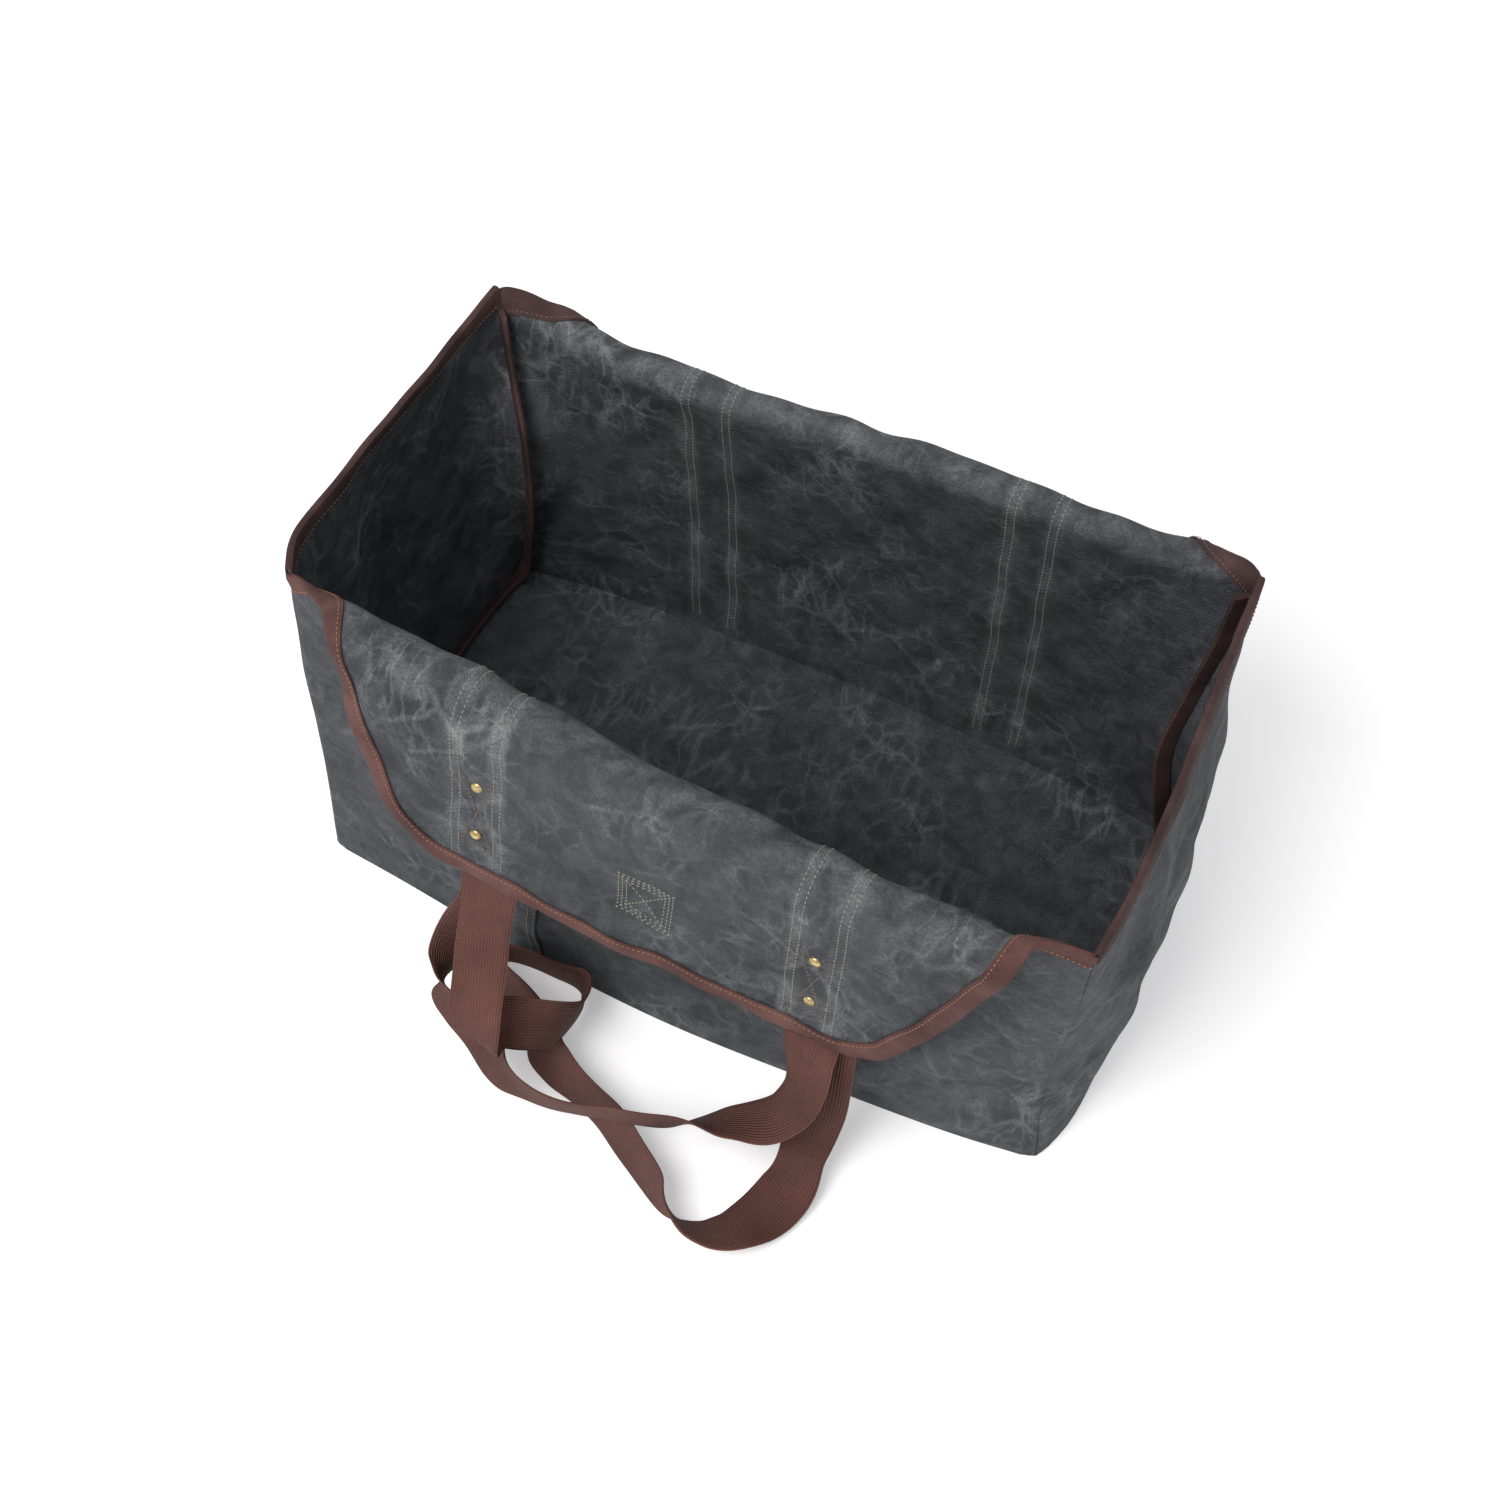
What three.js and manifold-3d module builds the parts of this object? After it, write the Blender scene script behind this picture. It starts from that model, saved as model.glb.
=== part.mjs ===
// Canvas log carrier: a soft open box of waxed canvas whose front and back panels run on past the rim
// as flaps folded outward, with flat webbing handles sewn under the flaps. Millimetres, +Z up.
// X runs along the bag's length, -Y is its front, and the origin is the middle of the underside.
import * as THREE from 'three';
import Module from 'manifold-3d';

const wasm = await Module();
wasm.setup();

// Driving dimensions of the bag
const bagLength = 550;
const bagWidth = 280;
const rimHeight = 313;
const canvasThickness = 2;
const clearance = 0.3;
const seamSetback = 1.5;

// Swell of the soft walls beyond the plain box
const frontFootSwell = 21;
const frontBellySwell = 16;
const backFootSwell = 14;
const backBellySwell = 12;
const endFootSwell = 12;
const endBellySwell = 21;
const endRimSwell = 9;
const bellyLowShare = 0.35;
const cornerTuck = 18;
const tuckStart = 0.45;
const creaseDepth = 3.5;

// Flaps: the cloth beyond the rim, measured from the start of the fold
const frontFlapLength = 197;
const backFlapLength = 190;
const frontFoldRadius = 20;
const backFoldRadius = 12;
const frontFoldLift = 16;
const frontFoldOut = 6;
const backFoldDrop = 22;
const backFoldIn = 8;
const flapLean = 8;
const flapTipHalfWidth = 190;
const flapCornerRadius = 28;
const flapRippleDepth = 5;
const widestFoldShare = 1.05;

// Binding tape, seam tape and strap bands
const tapeWidth = 12.5;
const tapeThickness = 1.2;
const tapeGap = 0.6;
const foldSlack = 0.7;
const seamTapeWidth = 12;
const seamTapeThickness = 4;
const seamTapeGap = 0.9;
const seamTopGap = 9;
const seamCornerRise = 0.06;
const seamFootReach = 0.88;
const strapSpacing = 233;
const strapShift = 3.5;
const bandWidth = 38;
const bandThickness = 1.5;
const bandEndGap = 1;
const shortestBandRow = 4;

// Webbing handles
const webbingWidth = 38;
const webbingThickness = 1.6;
const sewnLength = 92;
const sewnGap = 1.3;
const frontHandleReach = 102;
const backHandleReach = 70;

// Rivets at the handle roots
const rivetHeadDiameter = 8.2;
const rivetHeadHeight = 1.6;
const rivetCrownShare = 0.6;
const rivetRimShare = 0.4;
const rivetTailShare = 0.5;
const rivetShankDiameter = 4;
const rivetSpacing = 46;
const rivetAboveEdge = 42;

// Materials
const waxedCanvas = new THREE.MeshStandardMaterial({ color: 0x50555a, roughness: 0.72, metalness: 0 });
const brownTape = new THREE.MeshStandardMaterial({ color: 0x6a4440, roughness: 0.8, metalness: 0 });
const brownWebbing = new THREE.MeshStandardMaterial({ color: 0x704a44, roughness: 0.78, metalness: 0 });
const brass = new THREE.MeshStandardMaterial({ color: 0xa8904e, roughness: 0.35, metalness: 1 });

const halfLength = bagLength / 2;
const halfWidth = bagWidth / 2;
const wallFoot = canvasThickness + clearance;
const wallReach = halfLength - seamSetback;

// Walls along the length, a row for each section from the left corner to the right one.
// across is a share of half the length; the other columns are shares of the named swells and lifts.
const frontSections = [
  { across: -1.0, foot: 0.0, belly: 0.0, lift: 0.0, out: 0.0, radius: 0.7, lean: 0.6, ripple: 0.0 },
  { across: -0.78, foot: 0.25, belly: 0.3, lift: 1.0, out: -0.8, radius: 1.0, lean: 0.9, ripple: 0.4 },
  { across: -0.42, foot: 0.75, belly: 0.6, lift: 0.6, out: -0.9, radius: 1.05, lean: 1.1, ripple: -0.2 },
  { across: 0.0, foot: 1.0, belly: 1.0, lift: -0.1, out: 0.2, radius: 1.0, lean: 0.72, ripple: 0.5 },
  { across: 0.42, foot: 0.75, belly: 0.8, lift: -0.45, out: 0.7, radius: 1.0, lean: 0.6, ripple: -0.6 },
  { across: 0.78, foot: 0.4, belly: 0.5, lift: -0.4, out: 0.9, radius: 0.9, lean: 0.8, ripple: 0.5 },
  { across: 1.0, foot: 0.0, belly: 0.0, lift: 0.0, out: 0.0, radius: 0.7, lean: 0.6, ripple: 0.0 },
];
const backSections = [
  { across: -1.0, foot: 0.0, belly: 0.0, lift: 0.0, out: 0.0, radius: 0.8, lean: 0.6, ripple: 0.0 },
  { across: -0.75, foot: 0.5, belly: 0.3, lift: -1.0, out: -1.0, radius: 1.0, lean: 1.0, ripple: 0.3 },
  { across: -0.4, foot: 0.8, belly: 0.7, lift: -0.8, out: -1.0, radius: 1.0, lean: 1.0, ripple: -0.3 },
  { across: 0.0, foot: 1.0, belly: 1.0, lift: -0.5, out: -0.7, radius: 1.0, lean: 0.9, ripple: 0.4 },
  { across: 0.4, foot: 0.8, belly: 0.9, lift: -0.3, out: -0.4, radius: 1.0, lean: 1.0, ripple: -0.4 },
  { across: 0.75, foot: 0.4, belly: 0.5, lift: -0.35, out: -0.4, radius: 1.0, lean: 1.0, ripple: 0.3 },
  { across: 1.0, foot: 0.0, belly: 0.0, lift: 0.0, out: 0.0, radius: 0.8, lean: 0.6, ripple: 0.0 },
];

// How far each upright corner caves in, by height: shares of cornerTuck
const cornerSections = [
  { up: 0.0, frontLeft: 0.0, frontRight: 0.0, backLeft: 0.2, backRight: 0.2 },
  { up: 0.25, frontLeft: 0.1, frontRight: 0.45, backLeft: 1.0, backRight: 0.8 },
  { up: 0.45, frontLeft: 0.1, frontRight: 0.35, backLeft: 1.6, backRight: 1.1 },
  { up: 0.65, frontLeft: 0.0, frontRight: 0.15, backLeft: 1.5, backRight: 0.7 },
  { up: 0.82, frontLeft: 0.0, frontRight: 0.05, backLeft: 0.6, backRight: 0.25 },
  { up: 1.0, frontLeft: 0.0, frontRight: 0.0, backLeft: 0.0, backRight: 0.0 },
];

// End walls, a row for each upright crease from the front corner to the back one.
// across is a share of half the width; the other columns are shares of the end swells and crease depth.
const leftEndCreases = [
  { across: -1.0, foot: 0.0, belly: 0.0, rim: 0.0, crease: 0.0 },
  { across: -0.7, foot: 0.3, belly: 0.3, rim: 1.2, crease: 0.5 },
  { across: -0.35, foot: 0.45, belly: 0.7, rim: 1.0, crease: -0.8 },
  { across: 0.0, foot: 0.5, belly: 1.0, rim: 0.75, crease: 1.0 },
  { across: 0.4, foot: 0.45, belly: 0.8, rim: 0.4, crease: -0.7 },
  { across: 0.75, foot: 0.25, belly: 0.4, rim: 0.2, crease: 0.5 },
  { across: 1.0, foot: 0.0, belly: 0.0, rim: 0.0, crease: 0.0 },
];
const rightEndCreases = [
  { across: -1.0, foot: 0.0, belly: 0.0, rim: 0.0, crease: 0.0 },
  { across: -0.75, foot: 0.8, belly: 0.45, rim: 0.3, crease: -0.6 },
  { across: -0.45, foot: 1.0, belly: 0.65, rim: 0.3, crease: 1.0 },
  { across: -0.1, foot: 0.9, belly: 0.8, rim: 0.05, crease: -0.8 },
  { across: 0.3, foot: 0.6, belly: 0.6, rim: -0.15, crease: 0.9 },
  { across: 0.7, foot: 0.3, belly: 0.4, rim: -0.25, crease: -0.6 },
  { across: 1.0, foot: 0.0, belly: 0.0, rim: 0.0, crease: 0.0 },
];

// Free edge of the flaps between the corner and the tip, along each slanted side.
// down is a share of the flap's length, reach goes from the tip's half width (0) to the corner (1).
const frontSlants = [
  { down: 0.0, left: 1.0, right: 1.0 },
  { down: 0.03, left: 0.9, right: 0.64 },
  { down: 0.15, left: 0.6, right: 0.54 },
  { down: 0.3, left: 0.32, right: 0.44 },
  { down: 0.6, left: 0.09, right: 0.16 },
  { down: 1.0, left: -0.28, right: -0.32 },
];
const backSlants = [
  { down: 0.0, left: 1.0, right: 1.0 },
  { down: 0.03, left: 0.9, right: 0.9 },
  { down: 0.15, left: 0.5, right: 0.6 },
  { down: 0.3, left: 0.3, right: 0.36 },
  { down: 0.6, left: 0.08, right: 0.12 },
  { down: 1.0, left: -0.3, right: -0.28 },
];

// Smooth value of one column between the rows of a table
function between(rows, key, column, at) {
  const last = rows.length - 1;
  const place = Math.min(Math.max(at, rows[0][key]), rows[last][key]);
  let i = 0;
  while (i < last - 1 && place > rows[i + 1][key]) i += 1;
  const slope = (k) => {
    const a = rows[Math.max(k - 1, 0)];
    const b = rows[Math.min(k + 1, last)];
    return (b[column] - a[column]) / (b[key] - a[key]);
  };
  const run = rows[i + 1][key] - rows[i][key];
  const s = (place - rows[i][key]) / run;
  const startWeight = (1 + 2 * s) * (1 - s) ** 2;
  const endWeight = s * s * (3 - 2 * s);
  const startSlope = s * (1 - s) ** 2 * run * slope(i);
  const endSlope = s * s * (s - 1) * run * slope(i + 1);
  return startWeight * rows[i][column] + endWeight * rows[i + 1][column] + startSlope + endSlope;
}

function share(from, to, s) {
  return from + (to - from) * s;
}

// Rising share near the upright corners, where a wall follows its tucked corner seam
function cornerWeight(across) {
  const near = Math.max(0, (Math.abs(across) - tuckStart) / (1 - tuckStart));
  return near * near;
}

// Front or back cloth: its middle surface at a distance x along the bag and t up the cloth.
// t runs from 0 at the foot to rimHeight where the fold begins, then on round the fold and down the flap.
function longCloth(side) {
  const front = side === 'front';
  const facing = front ? -1 : 1;
  const rows = front ? frontSections : backSections;
  const foot = front ? frontFootSwell : backFootSwell;
  const belly = front ? frontBellySwell : backBellySwell;
  const foldRadius = front ? frontFoldRadius : backFoldRadius;
  const lift = front ? frontFoldLift : backFoldDrop;
  const out = front ? frontFoldOut : backFoldIn;
  const leftTuck = front ? 'frontLeft' : 'backLeft';
  const rightTuck = front ? 'frontRight' : 'backRight';
  return function point(x, t) {
    const across = x / halfLength;
    const column = (name) => between(rows, 'across', name, across);
    const radius = foldRadius * column('radius');
    const crestHeight = rimHeight + lift * column('lift');
    const foldStart = crestHeight - radius;
    const climb = Math.min(t / rimHeight, 1);
    const tuck = cornerTuck * between(cornerSections, 'up', across < 0 ? leftTuck : rightTuck, climb);
    const footPart = foot * column('foot') * (1 - climb) ** 2;
    const bellyPart = belly * column('belly') * 4 * climb * (1 - climb) * (1 - bellyLowShare * climb);
    const topPart = out * column('out') * climb * climb;
    const swell = footPart + bellyPart + topPart;
    const depth = halfWidth + swell - tuck * cornerWeight(across);
    const squeeze = 1 - (tuck / halfLength) * cornerWeight(across);
    if (t <= rimHeight) {
      return new THREE.Vector3(x * squeeze, facing * depth, share(wallFoot, foldStart, climb));
    }
    const lean = THREE.MathUtils.degToRad(flapLean * column('lean'));
    const foldAngle = Math.PI - lean;
    const beyond = t - rimHeight;
    const angle = Math.min(beyond / radius, foldAngle);
    const hang = Math.max(beyond - radius * foldAngle, 0);
    const ripple = flapRippleDepth * column('ripple') * (hang / frontFlapLength);
    const outward = depth + radius * (1 - Math.cos(angle)) + hang * Math.sin(lean) + ripple;
    const height = foldStart + radius * Math.sin(angle) - hang * Math.cos(lean);
    return new THREE.Vector3(x, facing * outward, height);
  };
}

// End cloth: its middle surface at a share across its width (-1 front, 1 back) and a share up its height
function endCloth(side) {
  const left = side === 'left';
  const facing = left ? -1 : 1;
  const rows = left ? leftEndCreases : rightEndCreases;
  return function point(across, up) {
    const tuckName = (left ? ['frontLeft', 'backLeft'] : ['frontRight', 'backRight'])[across < 0 ? 0 : 1];
    const tuck = cornerTuck * between(cornerSections, 'up', tuckName, up);
    const column = (name) => between(rows, 'across', name, across);
    const footPart = endFootSwell * column('foot') * (1 - up) ** 2;
    const bellyPart = endBellySwell * column('belly') * 4 * up * (1 - up);
    const rimPart = endRimSwell * column('rim') * up * up;
    const crease = creaseDepth * column('crease') * Math.sin(Math.PI * up);
    const x = halfLength + footPart + bellyPart + rimPart + crease - tuck * cornerWeight(across);
    const edge = halfWidth - seamSetback - tuck * cornerWeight(across);
    return new THREE.Vector3(facing * x, across * edge, share(wallFoot, rimHeight, up));
  };
}

// Point beside a surface, at a distance along its outward side
function beside(surface, a, b, stepA, stepB, distance, turn) {
  const here = surface(a, b);
  const alongA = surface(a + stepA, b).sub(surface(a - stepA, b));
  const alongB = surface(a, b + stepB).sub(surface(a, b - stepB));
  const normal = alongA.cross(alongB).normalize().multiplyScalar(turn);
  return here.addScaledVector(normal, distance);
}

const frontCloth = longCloth('front');
const backCloth = longCloth('back');
const clothBySide = { front: frontCloth, back: backCloth };
const flapLengthBySide = { front: frontFlapLength, back: backFlapLength };
const outwardTurn = { front: 1, back: -1, left: -1, right: 1 };

// Steps that a surface's slope is measured over: in millimetres, and as a share of an end wall
const slopeStep = 0.5;
const slopeShare = 0.005;

function besideLongCloth(side, x, t, distance) {
  return beside(clothBySide[side], x, t, slopeStep, slopeStep, distance, outwardTurn[side]);
}

// Length of cloth taken up by the fold at its widest
function foldRunOf(side) {
  return Math.PI * widestFoldShare * (side === 'front' ? frontFoldRadius : backFoldRadius);
}

// Rows of the cloth from foot to tip: even on the wall, close round the fold, even on the flap
function clothRows(side) {
  const wallSteps = 7;
  const foldSteps = 8;
  const hangSteps = 4;
  const foldRun = foldRunOf(side);
  const tip = flapLengthBySide[side];
  const rows = [];
  for (let i = 0; i < wallSteps; i += 1) rows.push((rimHeight * i) / wallSteps);
  for (let i = 0; i < foldSteps; i += 1) rows.push(rimHeight + (foldRun * i) / foldSteps);
  for (let i = 0; i <= hangSteps; i += 1) rows.push(rimHeight + share(foldRun, tip, i / hangSteps));
  return rows;
}

// Half width of the cloth at t, on the left (-1) or right (1) side
function clothReach(side, t, hand) {
  if (t <= rimHeight) return wallReach;
  const down = (t - rimHeight) / flapLengthBySide[side];
  const slants = side === 'front' ? frontSlants : backSlants;
  const reach = between(slants, 'down', hand < 0 ? 'left' : 'right', down);
  const straight = share(flapTipHalfWidth, wallReach, reach);
  const toTip = (1 - down) * flapLengthBySide[side];
  const round = Math.max(0, flapCornerRadius - toTip);
  const rounding = flapCornerRadius - Math.sqrt(flapCornerRadius ** 2 - Math.min(round, flapCornerRadius) ** 2);
  return straight - rounding;
}

// A solid from a list of rings: each ring is a closed loop of points, and the two end rings are capped
function solidFromRings(rings) {
  const count = rings[0].length;
  const positions = [];
  rings.forEach((ring) => ring.forEach((p) => positions.push(p.x, p.y, p.z)));
  const index = [];
  for (let r = 0; r < rings.length - 1; r += 1) {
    for (let i = 0; i < count; i += 1) {
      const a = r * count + i;
      const b = r * count + ((i + 1) % count);
      index.push(a, b, b + count, a, b + count, a + count);
    }
  }
  const capPairs = count / 2;
  const last = (rings.length - 1) * count;
  for (let i = 0; i < capPairs - 1; i += 1) {
    const j = count - 1 - i;
    index.push(i, j - 1, i + 1, i, j, j - 1);
    index.push(last + i, last + i + 1, last + j - 1, last + i, last + j - 1, last + j);
  }
  return facingOut(positions, index);
}

// A geometry whose faces point out: the index is turned round where the volume comes out negative
function facingOut(positions, index) {
  let volume = 0;
  const corner = (i) => new THREE.Vector3().fromArray(positions, 3 * i);
  for (let i = 0; i < index.length; i += 3) {
    const a = corner(index[i]);
    volume += a.dot(corner(index[i + 1]).cross(corner(index[i + 2])));
  }
  const turned = volume > 0 ? index : index.slice().reverse();
  const geometry = new THREE.BufferGeometry();
  geometry.setAttribute('position', new THREE.Float32BufferAttribute(positions, 3));
  geometry.setIndex(turned);
  return geometry;
}

// A cloth wall between two grids of points, one for each face: rows run up, columns run across
function clothWall(faceA, faceB) {
  const rings = faceA.map((row, r) => [...row, ...faceB[r].slice().reverse()]);
  return solidFromRings(rings);
}

// A shape cut by tools, without any crumb the cut leaves loose
function cutThrough(geometry, tools) {
  const solidOf = (g) => new wasm.Manifold(new wasm.Mesh({
    numProp: 3,
    vertProperties: new Float32Array(g.getAttribute('position').array),
    triVerts: new Uint32Array(g.index.array),
  }));
  let solid = solidOf(geometry);
  tools.forEach((tool) => { solid = solid.subtract(solidOf(tool)); });
  const bodies = solid.decompose().sort((a, b) => b.volume() - a.volume());
  const mesh = bodies[0].getMesh();
  const result = new THREE.BufferGeometry();
  result.setAttribute('position', new THREE.BufferAttribute(new Float32Array(mesh.vertProperties), 3));
  result.setIndex(new THREE.BufferAttribute(new Uint32Array(mesh.triVerts), 1));
  return result;
}

const carrier = new THREE.Group();

function addPiece(name, geometry, material) {
  const mesh = new THREE.Mesh(geometry, material);
  mesh.name = name;
  carrier.add(mesh);
}

// Rivets: each has a place on the flap, its cloth thickness direction and a hole cutter of the same axis
const strapCentres = { left: -strapSpacing / 2 + strapShift, right: strapSpacing / 2 + strapShift };
const bandLevel = canvasThickness / 2 + clearance + bandThickness / 2;
const innerStrapLevel = canvasThickness / 2 + tapeGap + tapeThickness + sewnGap + webbingThickness / 2;
const outerStrapLevel = innerStrapLevel + webbingThickness + sewnGap;

function rivetFrame(side, x, t) {
  const inner = besideLongCloth(side, x, t, 0);
  const outer = besideLongCloth(side, x, t, 1);
  const axis = outer.clone().sub(inner).normalize();
  const turn = new THREE.Quaternion().setFromUnitVectors(new THREE.Vector3(0, 0, 1), axis);
  return new THREE.Matrix4().compose(inner, turn, new THREE.Vector3(1, 1, 1));
}

function closedLathe(profile, sides) {
  const points = profile.map(([radius, height]) => new THREE.Vector2(radius, height));
  const positions = [];
  const index = [];
  const inner = points.slice(1, -1);
  inner.forEach((p) => {
    for (let i = 0; i < sides; i += 1) {
      const angle = (2 * Math.PI * i) / sides;
      positions.push(p.x * Math.cos(angle), p.x * Math.sin(angle), p.y);
    }
  });
  const bottom = positions.length / 3;
  positions.push(0, 0, points[0].y);
  const top = bottom + 1;
  positions.push(0, 0, points[points.length - 1].y);
  for (let i = 0; i < sides; i += 1) {
    const next = (i + 1) % sides;
    index.push(bottom, next, i);
    for (let r = 0; r < inner.length - 1; r += 1) {
      const a = r * sides + i;
      const b = r * sides + next;
      index.push(a, b, b + sides, a, b + sides, a + sides);
    }
    const end = (inner.length - 1) * sides;
    index.push(top, end + i, end + next);
  }
  return facingOut(positions, index);
}

const rivetSides = 8;
const rivetPlaces = [];
['front', 'back'].forEach((side) => {
  let number = 1;
  ['left', 'right'].forEach((hand) => {
    [0, 1].forEach((step) => {
      const t = rimHeight + flapLengthBySide[side] - rivetAboveEdge - step * rivetSpacing;
      rivetPlaces.push({ name: `rivet_${side}_${number}`, side, hand, frame: rivetFrame(side, strapCentres[hand], t) });
      number += 1;
    });
  });
});

function rivetGeometry() {
  const headRadius = rivetHeadDiameter / 2;
  const shankRadius = rivetShankDiameter / 2;
  const headBase = -canvasThickness / 2 - clearance;
  const tailBase = outerStrapLevel + webbingThickness / 2 + clearance;
  return closedLathe([
    [0, headBase - rivetHeadHeight],
    [headRadius * rivetCrownShare, headBase - rivetHeadHeight],
    [headRadius, headBase - rivetHeadHeight * rivetRimShare],
    [headRadius, headBase],
    [shankRadius, headBase],
    [shankRadius, tailBase],
    [headRadius, tailBase],
    [headRadius, tailBase + rivetHeadHeight * rivetTailShare],
    [0, tailBase + rivetHeadHeight * rivetTailShare],
  ], rivetSides);
}

function holeGeometry() {
  const radius = rivetShankDiameter / 2 + clearance;
  const low = -canvasThickness * 2;
  const high = outerStrapLevel + webbingThickness * 2;
  return closedLathe([[0, low], [radius, low], [radius, high], [0, high]], rivetSides);
}

function rivetHoles(side, hand) {
  return rivetPlaces
    .filter((place) => place.side === side && (hand === undefined || place.hand === hand))
    .map((place) => holeGeometry().applyMatrix4(place.frame));
}

// Front and back panels: wall and flap in one cloth
const clothColumns = 18;

function longClothBody(side, thickness) {
  const grid = (distance) => clothRows(side).map((t) => {
    const row = [];
    const left = -clothReach(side, t, -1);
    const right = clothReach(side, t, 1);
    for (let i = 0; i <= clothColumns; i += 1) {
      row.push(besideLongCloth(side, share(left, right, i / clothColumns), t, distance));
    }
    return row;
  });
  return clothWall(grid(-thickness / 2), grid(thickness / 2));
}

function longPanel(side) {
  return cutThrough(longClothBody(side, canvasThickness), rivetHoles(side));
}

addPiece('front_panel', longPanel('front'), waxedCanvas);
addPiece('back_panel', longPanel('back'), waxedCanvas);

// End panels
const endColumns = 12;
const endRows = 8;
const tapeUp = 1 - tapeWidth / (rimHeight - wallFoot);

function endHeight(row) {
  return row === endRows ? 1 : (tapeUp * row) / (endRows - 1);
}

function endPanel(side) {
  const surface = endCloth(side);
  const grid = (distance) => {
    const rows = [];
    for (let r = 0; r <= endRows; r += 1) {
      const row = [];
      for (let i = 0; i <= endColumns; i += 1) {
        const across = share(-1, 1, i / endColumns);
        row.push(beside(surface, across, endHeight(r), slopeShare, slopeShare, distance, outwardTurn[side]));
      }
      rows.push(row);
    }
    return rows;
  };
  return clothWall(grid(-canvasThickness / 2), grid(canvasThickness / 2));
}

addPiece('end_panel_left', endPanel('left'), waxedCanvas);
addPiece('end_panel_right', endPanel('right'), waxedCanvas);

// Bottom panel: its outline follows the feet of the four walls
const bottomColumns = 16;
const bottomRows = 4;

function bottomPanel() {
  const leftEnd = endCloth('left');
  const rightEnd = endCloth('right');
  const grid = (height) => {
    const rows = [];
    for (let r = 0; r <= bottomRows; r += 1) {
      const row = [];
      const v = share(-1, 1, r / bottomRows);
      for (let i = 0; i <= bottomColumns; i += 1) {
        const u = share(-1, 1, i / bottomColumns);
        const frontEdge = -frontCloth(u * halfLength, 0).y + canvasThickness / 2;
        const backEdge = backCloth(u * halfLength, 0).y + canvasThickness / 2;
        const leftEdge = -leftEnd(v, 0).x + canvasThickness / 2;
        const rightEdge = rightEnd(v, 0).x + canvasThickness / 2;
        const x = u < 0 ? u * leftEdge : u * rightEdge;
        const y = v < 0 ? v * frontEdge : v * backEdge;
        row.push(new THREE.Vector3(x, y, height));
      }
      rows.push(row);
    }
    return rows;
  };
  return clothWall(grid(0), grid(canvasThickness));
}

addPiece('bottom_panel', bottomPanel(), waxedCanvas);

// Tape folded over a free edge: a channel whose legs lie on both faces of the cloth.
// edgePoint(i, inward, distance) gives a point of station i, inward from the edge and beside the cloth.
function foldedTape(stations, edgePoint) {
  const near = canvasThickness / 2 + tapeGap;
  const far = near + tapeThickness;
  const rings = [];
  for (let i = 0; i < stations; i += 1) {
    rings.push([
      edgePoint(i, tapeWidth, far),
      edgePoint(i, -tapeGap - tapeThickness, far),
      edgePoint(i, -tapeGap - tapeThickness, -far),
      edgePoint(i, tapeWidth, -far),
      edgePoint(i, tapeWidth, -near),
      edgePoint(i, -tapeGap, -near),
      edgePoint(i, -tapeGap, near),
      edgePoint(i, tapeWidth, near),
    ]);
  }
  return channelFromRings(rings);
}

// The same channel section at every station, with its two ends capped by three quads each
function channelFromRings(rings) {
  const positions = [];
  rings.forEach((ring) => ring.forEach((p) => positions.push(p.x, p.y, p.z)));
  const index = [];
  const count = 8;
  for (let r = 0; r < rings.length - 1; r += 1) {
    for (let i = 0; i < count; i += 1) {
      const a = r * count + i;
      const b = r * count + ((i + 1) % count);
      index.push(a, b, b + count, a, b + count, a + count);
    }
  }
  const last = (rings.length - 1) * count;
  [[0, 1, 6, 7], [1, 2, 5, 6], [2, 3, 4, 5]].forEach(([a, b, c, d]) => {
    index.push(a, c, b, a, d, c);
    index.push(last + a, last + b, last + c, last + a, last + c, last + d);
  });
  return facingOut(positions, index);
}

// Free edge of a flap from the left corner round the tip to the right corner, in cloth coordinates
const tipStations = 10;
const cornerRowShares = [0.75, 0.5, 0.3, 0.15, 0.05];
const cornerStations = 2;

function flapEdge(side) {
  const rowsDown = clothRows(side).filter((t) => t > rimHeight);
  const tip = rimHeight + flapLengthBySide[side];
  const roundRows = cornerRowShares.map((s) => tip - s * flapCornerRadius);
  const rows = [...rowsDown.filter((t) => t < tip - flapCornerRadius), ...roundRows];
  const leftSide = rows.map((t) => ({ x: -clothReach(side, t, -1), t }));
  const rightSide = rows.map((t) => ({ x: clothReach(side, t, 1), t })).reverse();
  const tipLeft = -clothReach(side, tip, -1);
  const tipRight = clothReach(side, tip, 1);
  const bottom = [];
  for (let i = 0; i <= tipStations; i += 1) bottom.push({ x: share(tipLeft, tipRight, i / tipStations), t: tip });
  const endTape = canvasThickness / 2 + tapeGap + tapeThickness;
  const cornerX = halfLength - endTape - seamTapeGap;
  const fromCorner = (hand, next) => {
    const onEdge = (s) => ({ x: hand * share(wallReach, Math.abs(next.x), s), t: share(rimHeight, next.t, s) });
    const start = Math.min(0.5, (wallReach - cornerX) / (wallReach - Math.abs(next.x)));
    return [onEdge(start), onEdge(share(start, 1, 0.5))];
  };
  const leftCorner = fromCorner(-1, leftSide[0]);
  const rightCorner = fromCorner(1, rightSide[rightSide.length - 1]).reverse();
  return [...leftCorner, ...leftSide, ...bottom, ...rightSide, ...rightCorner];
}

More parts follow.
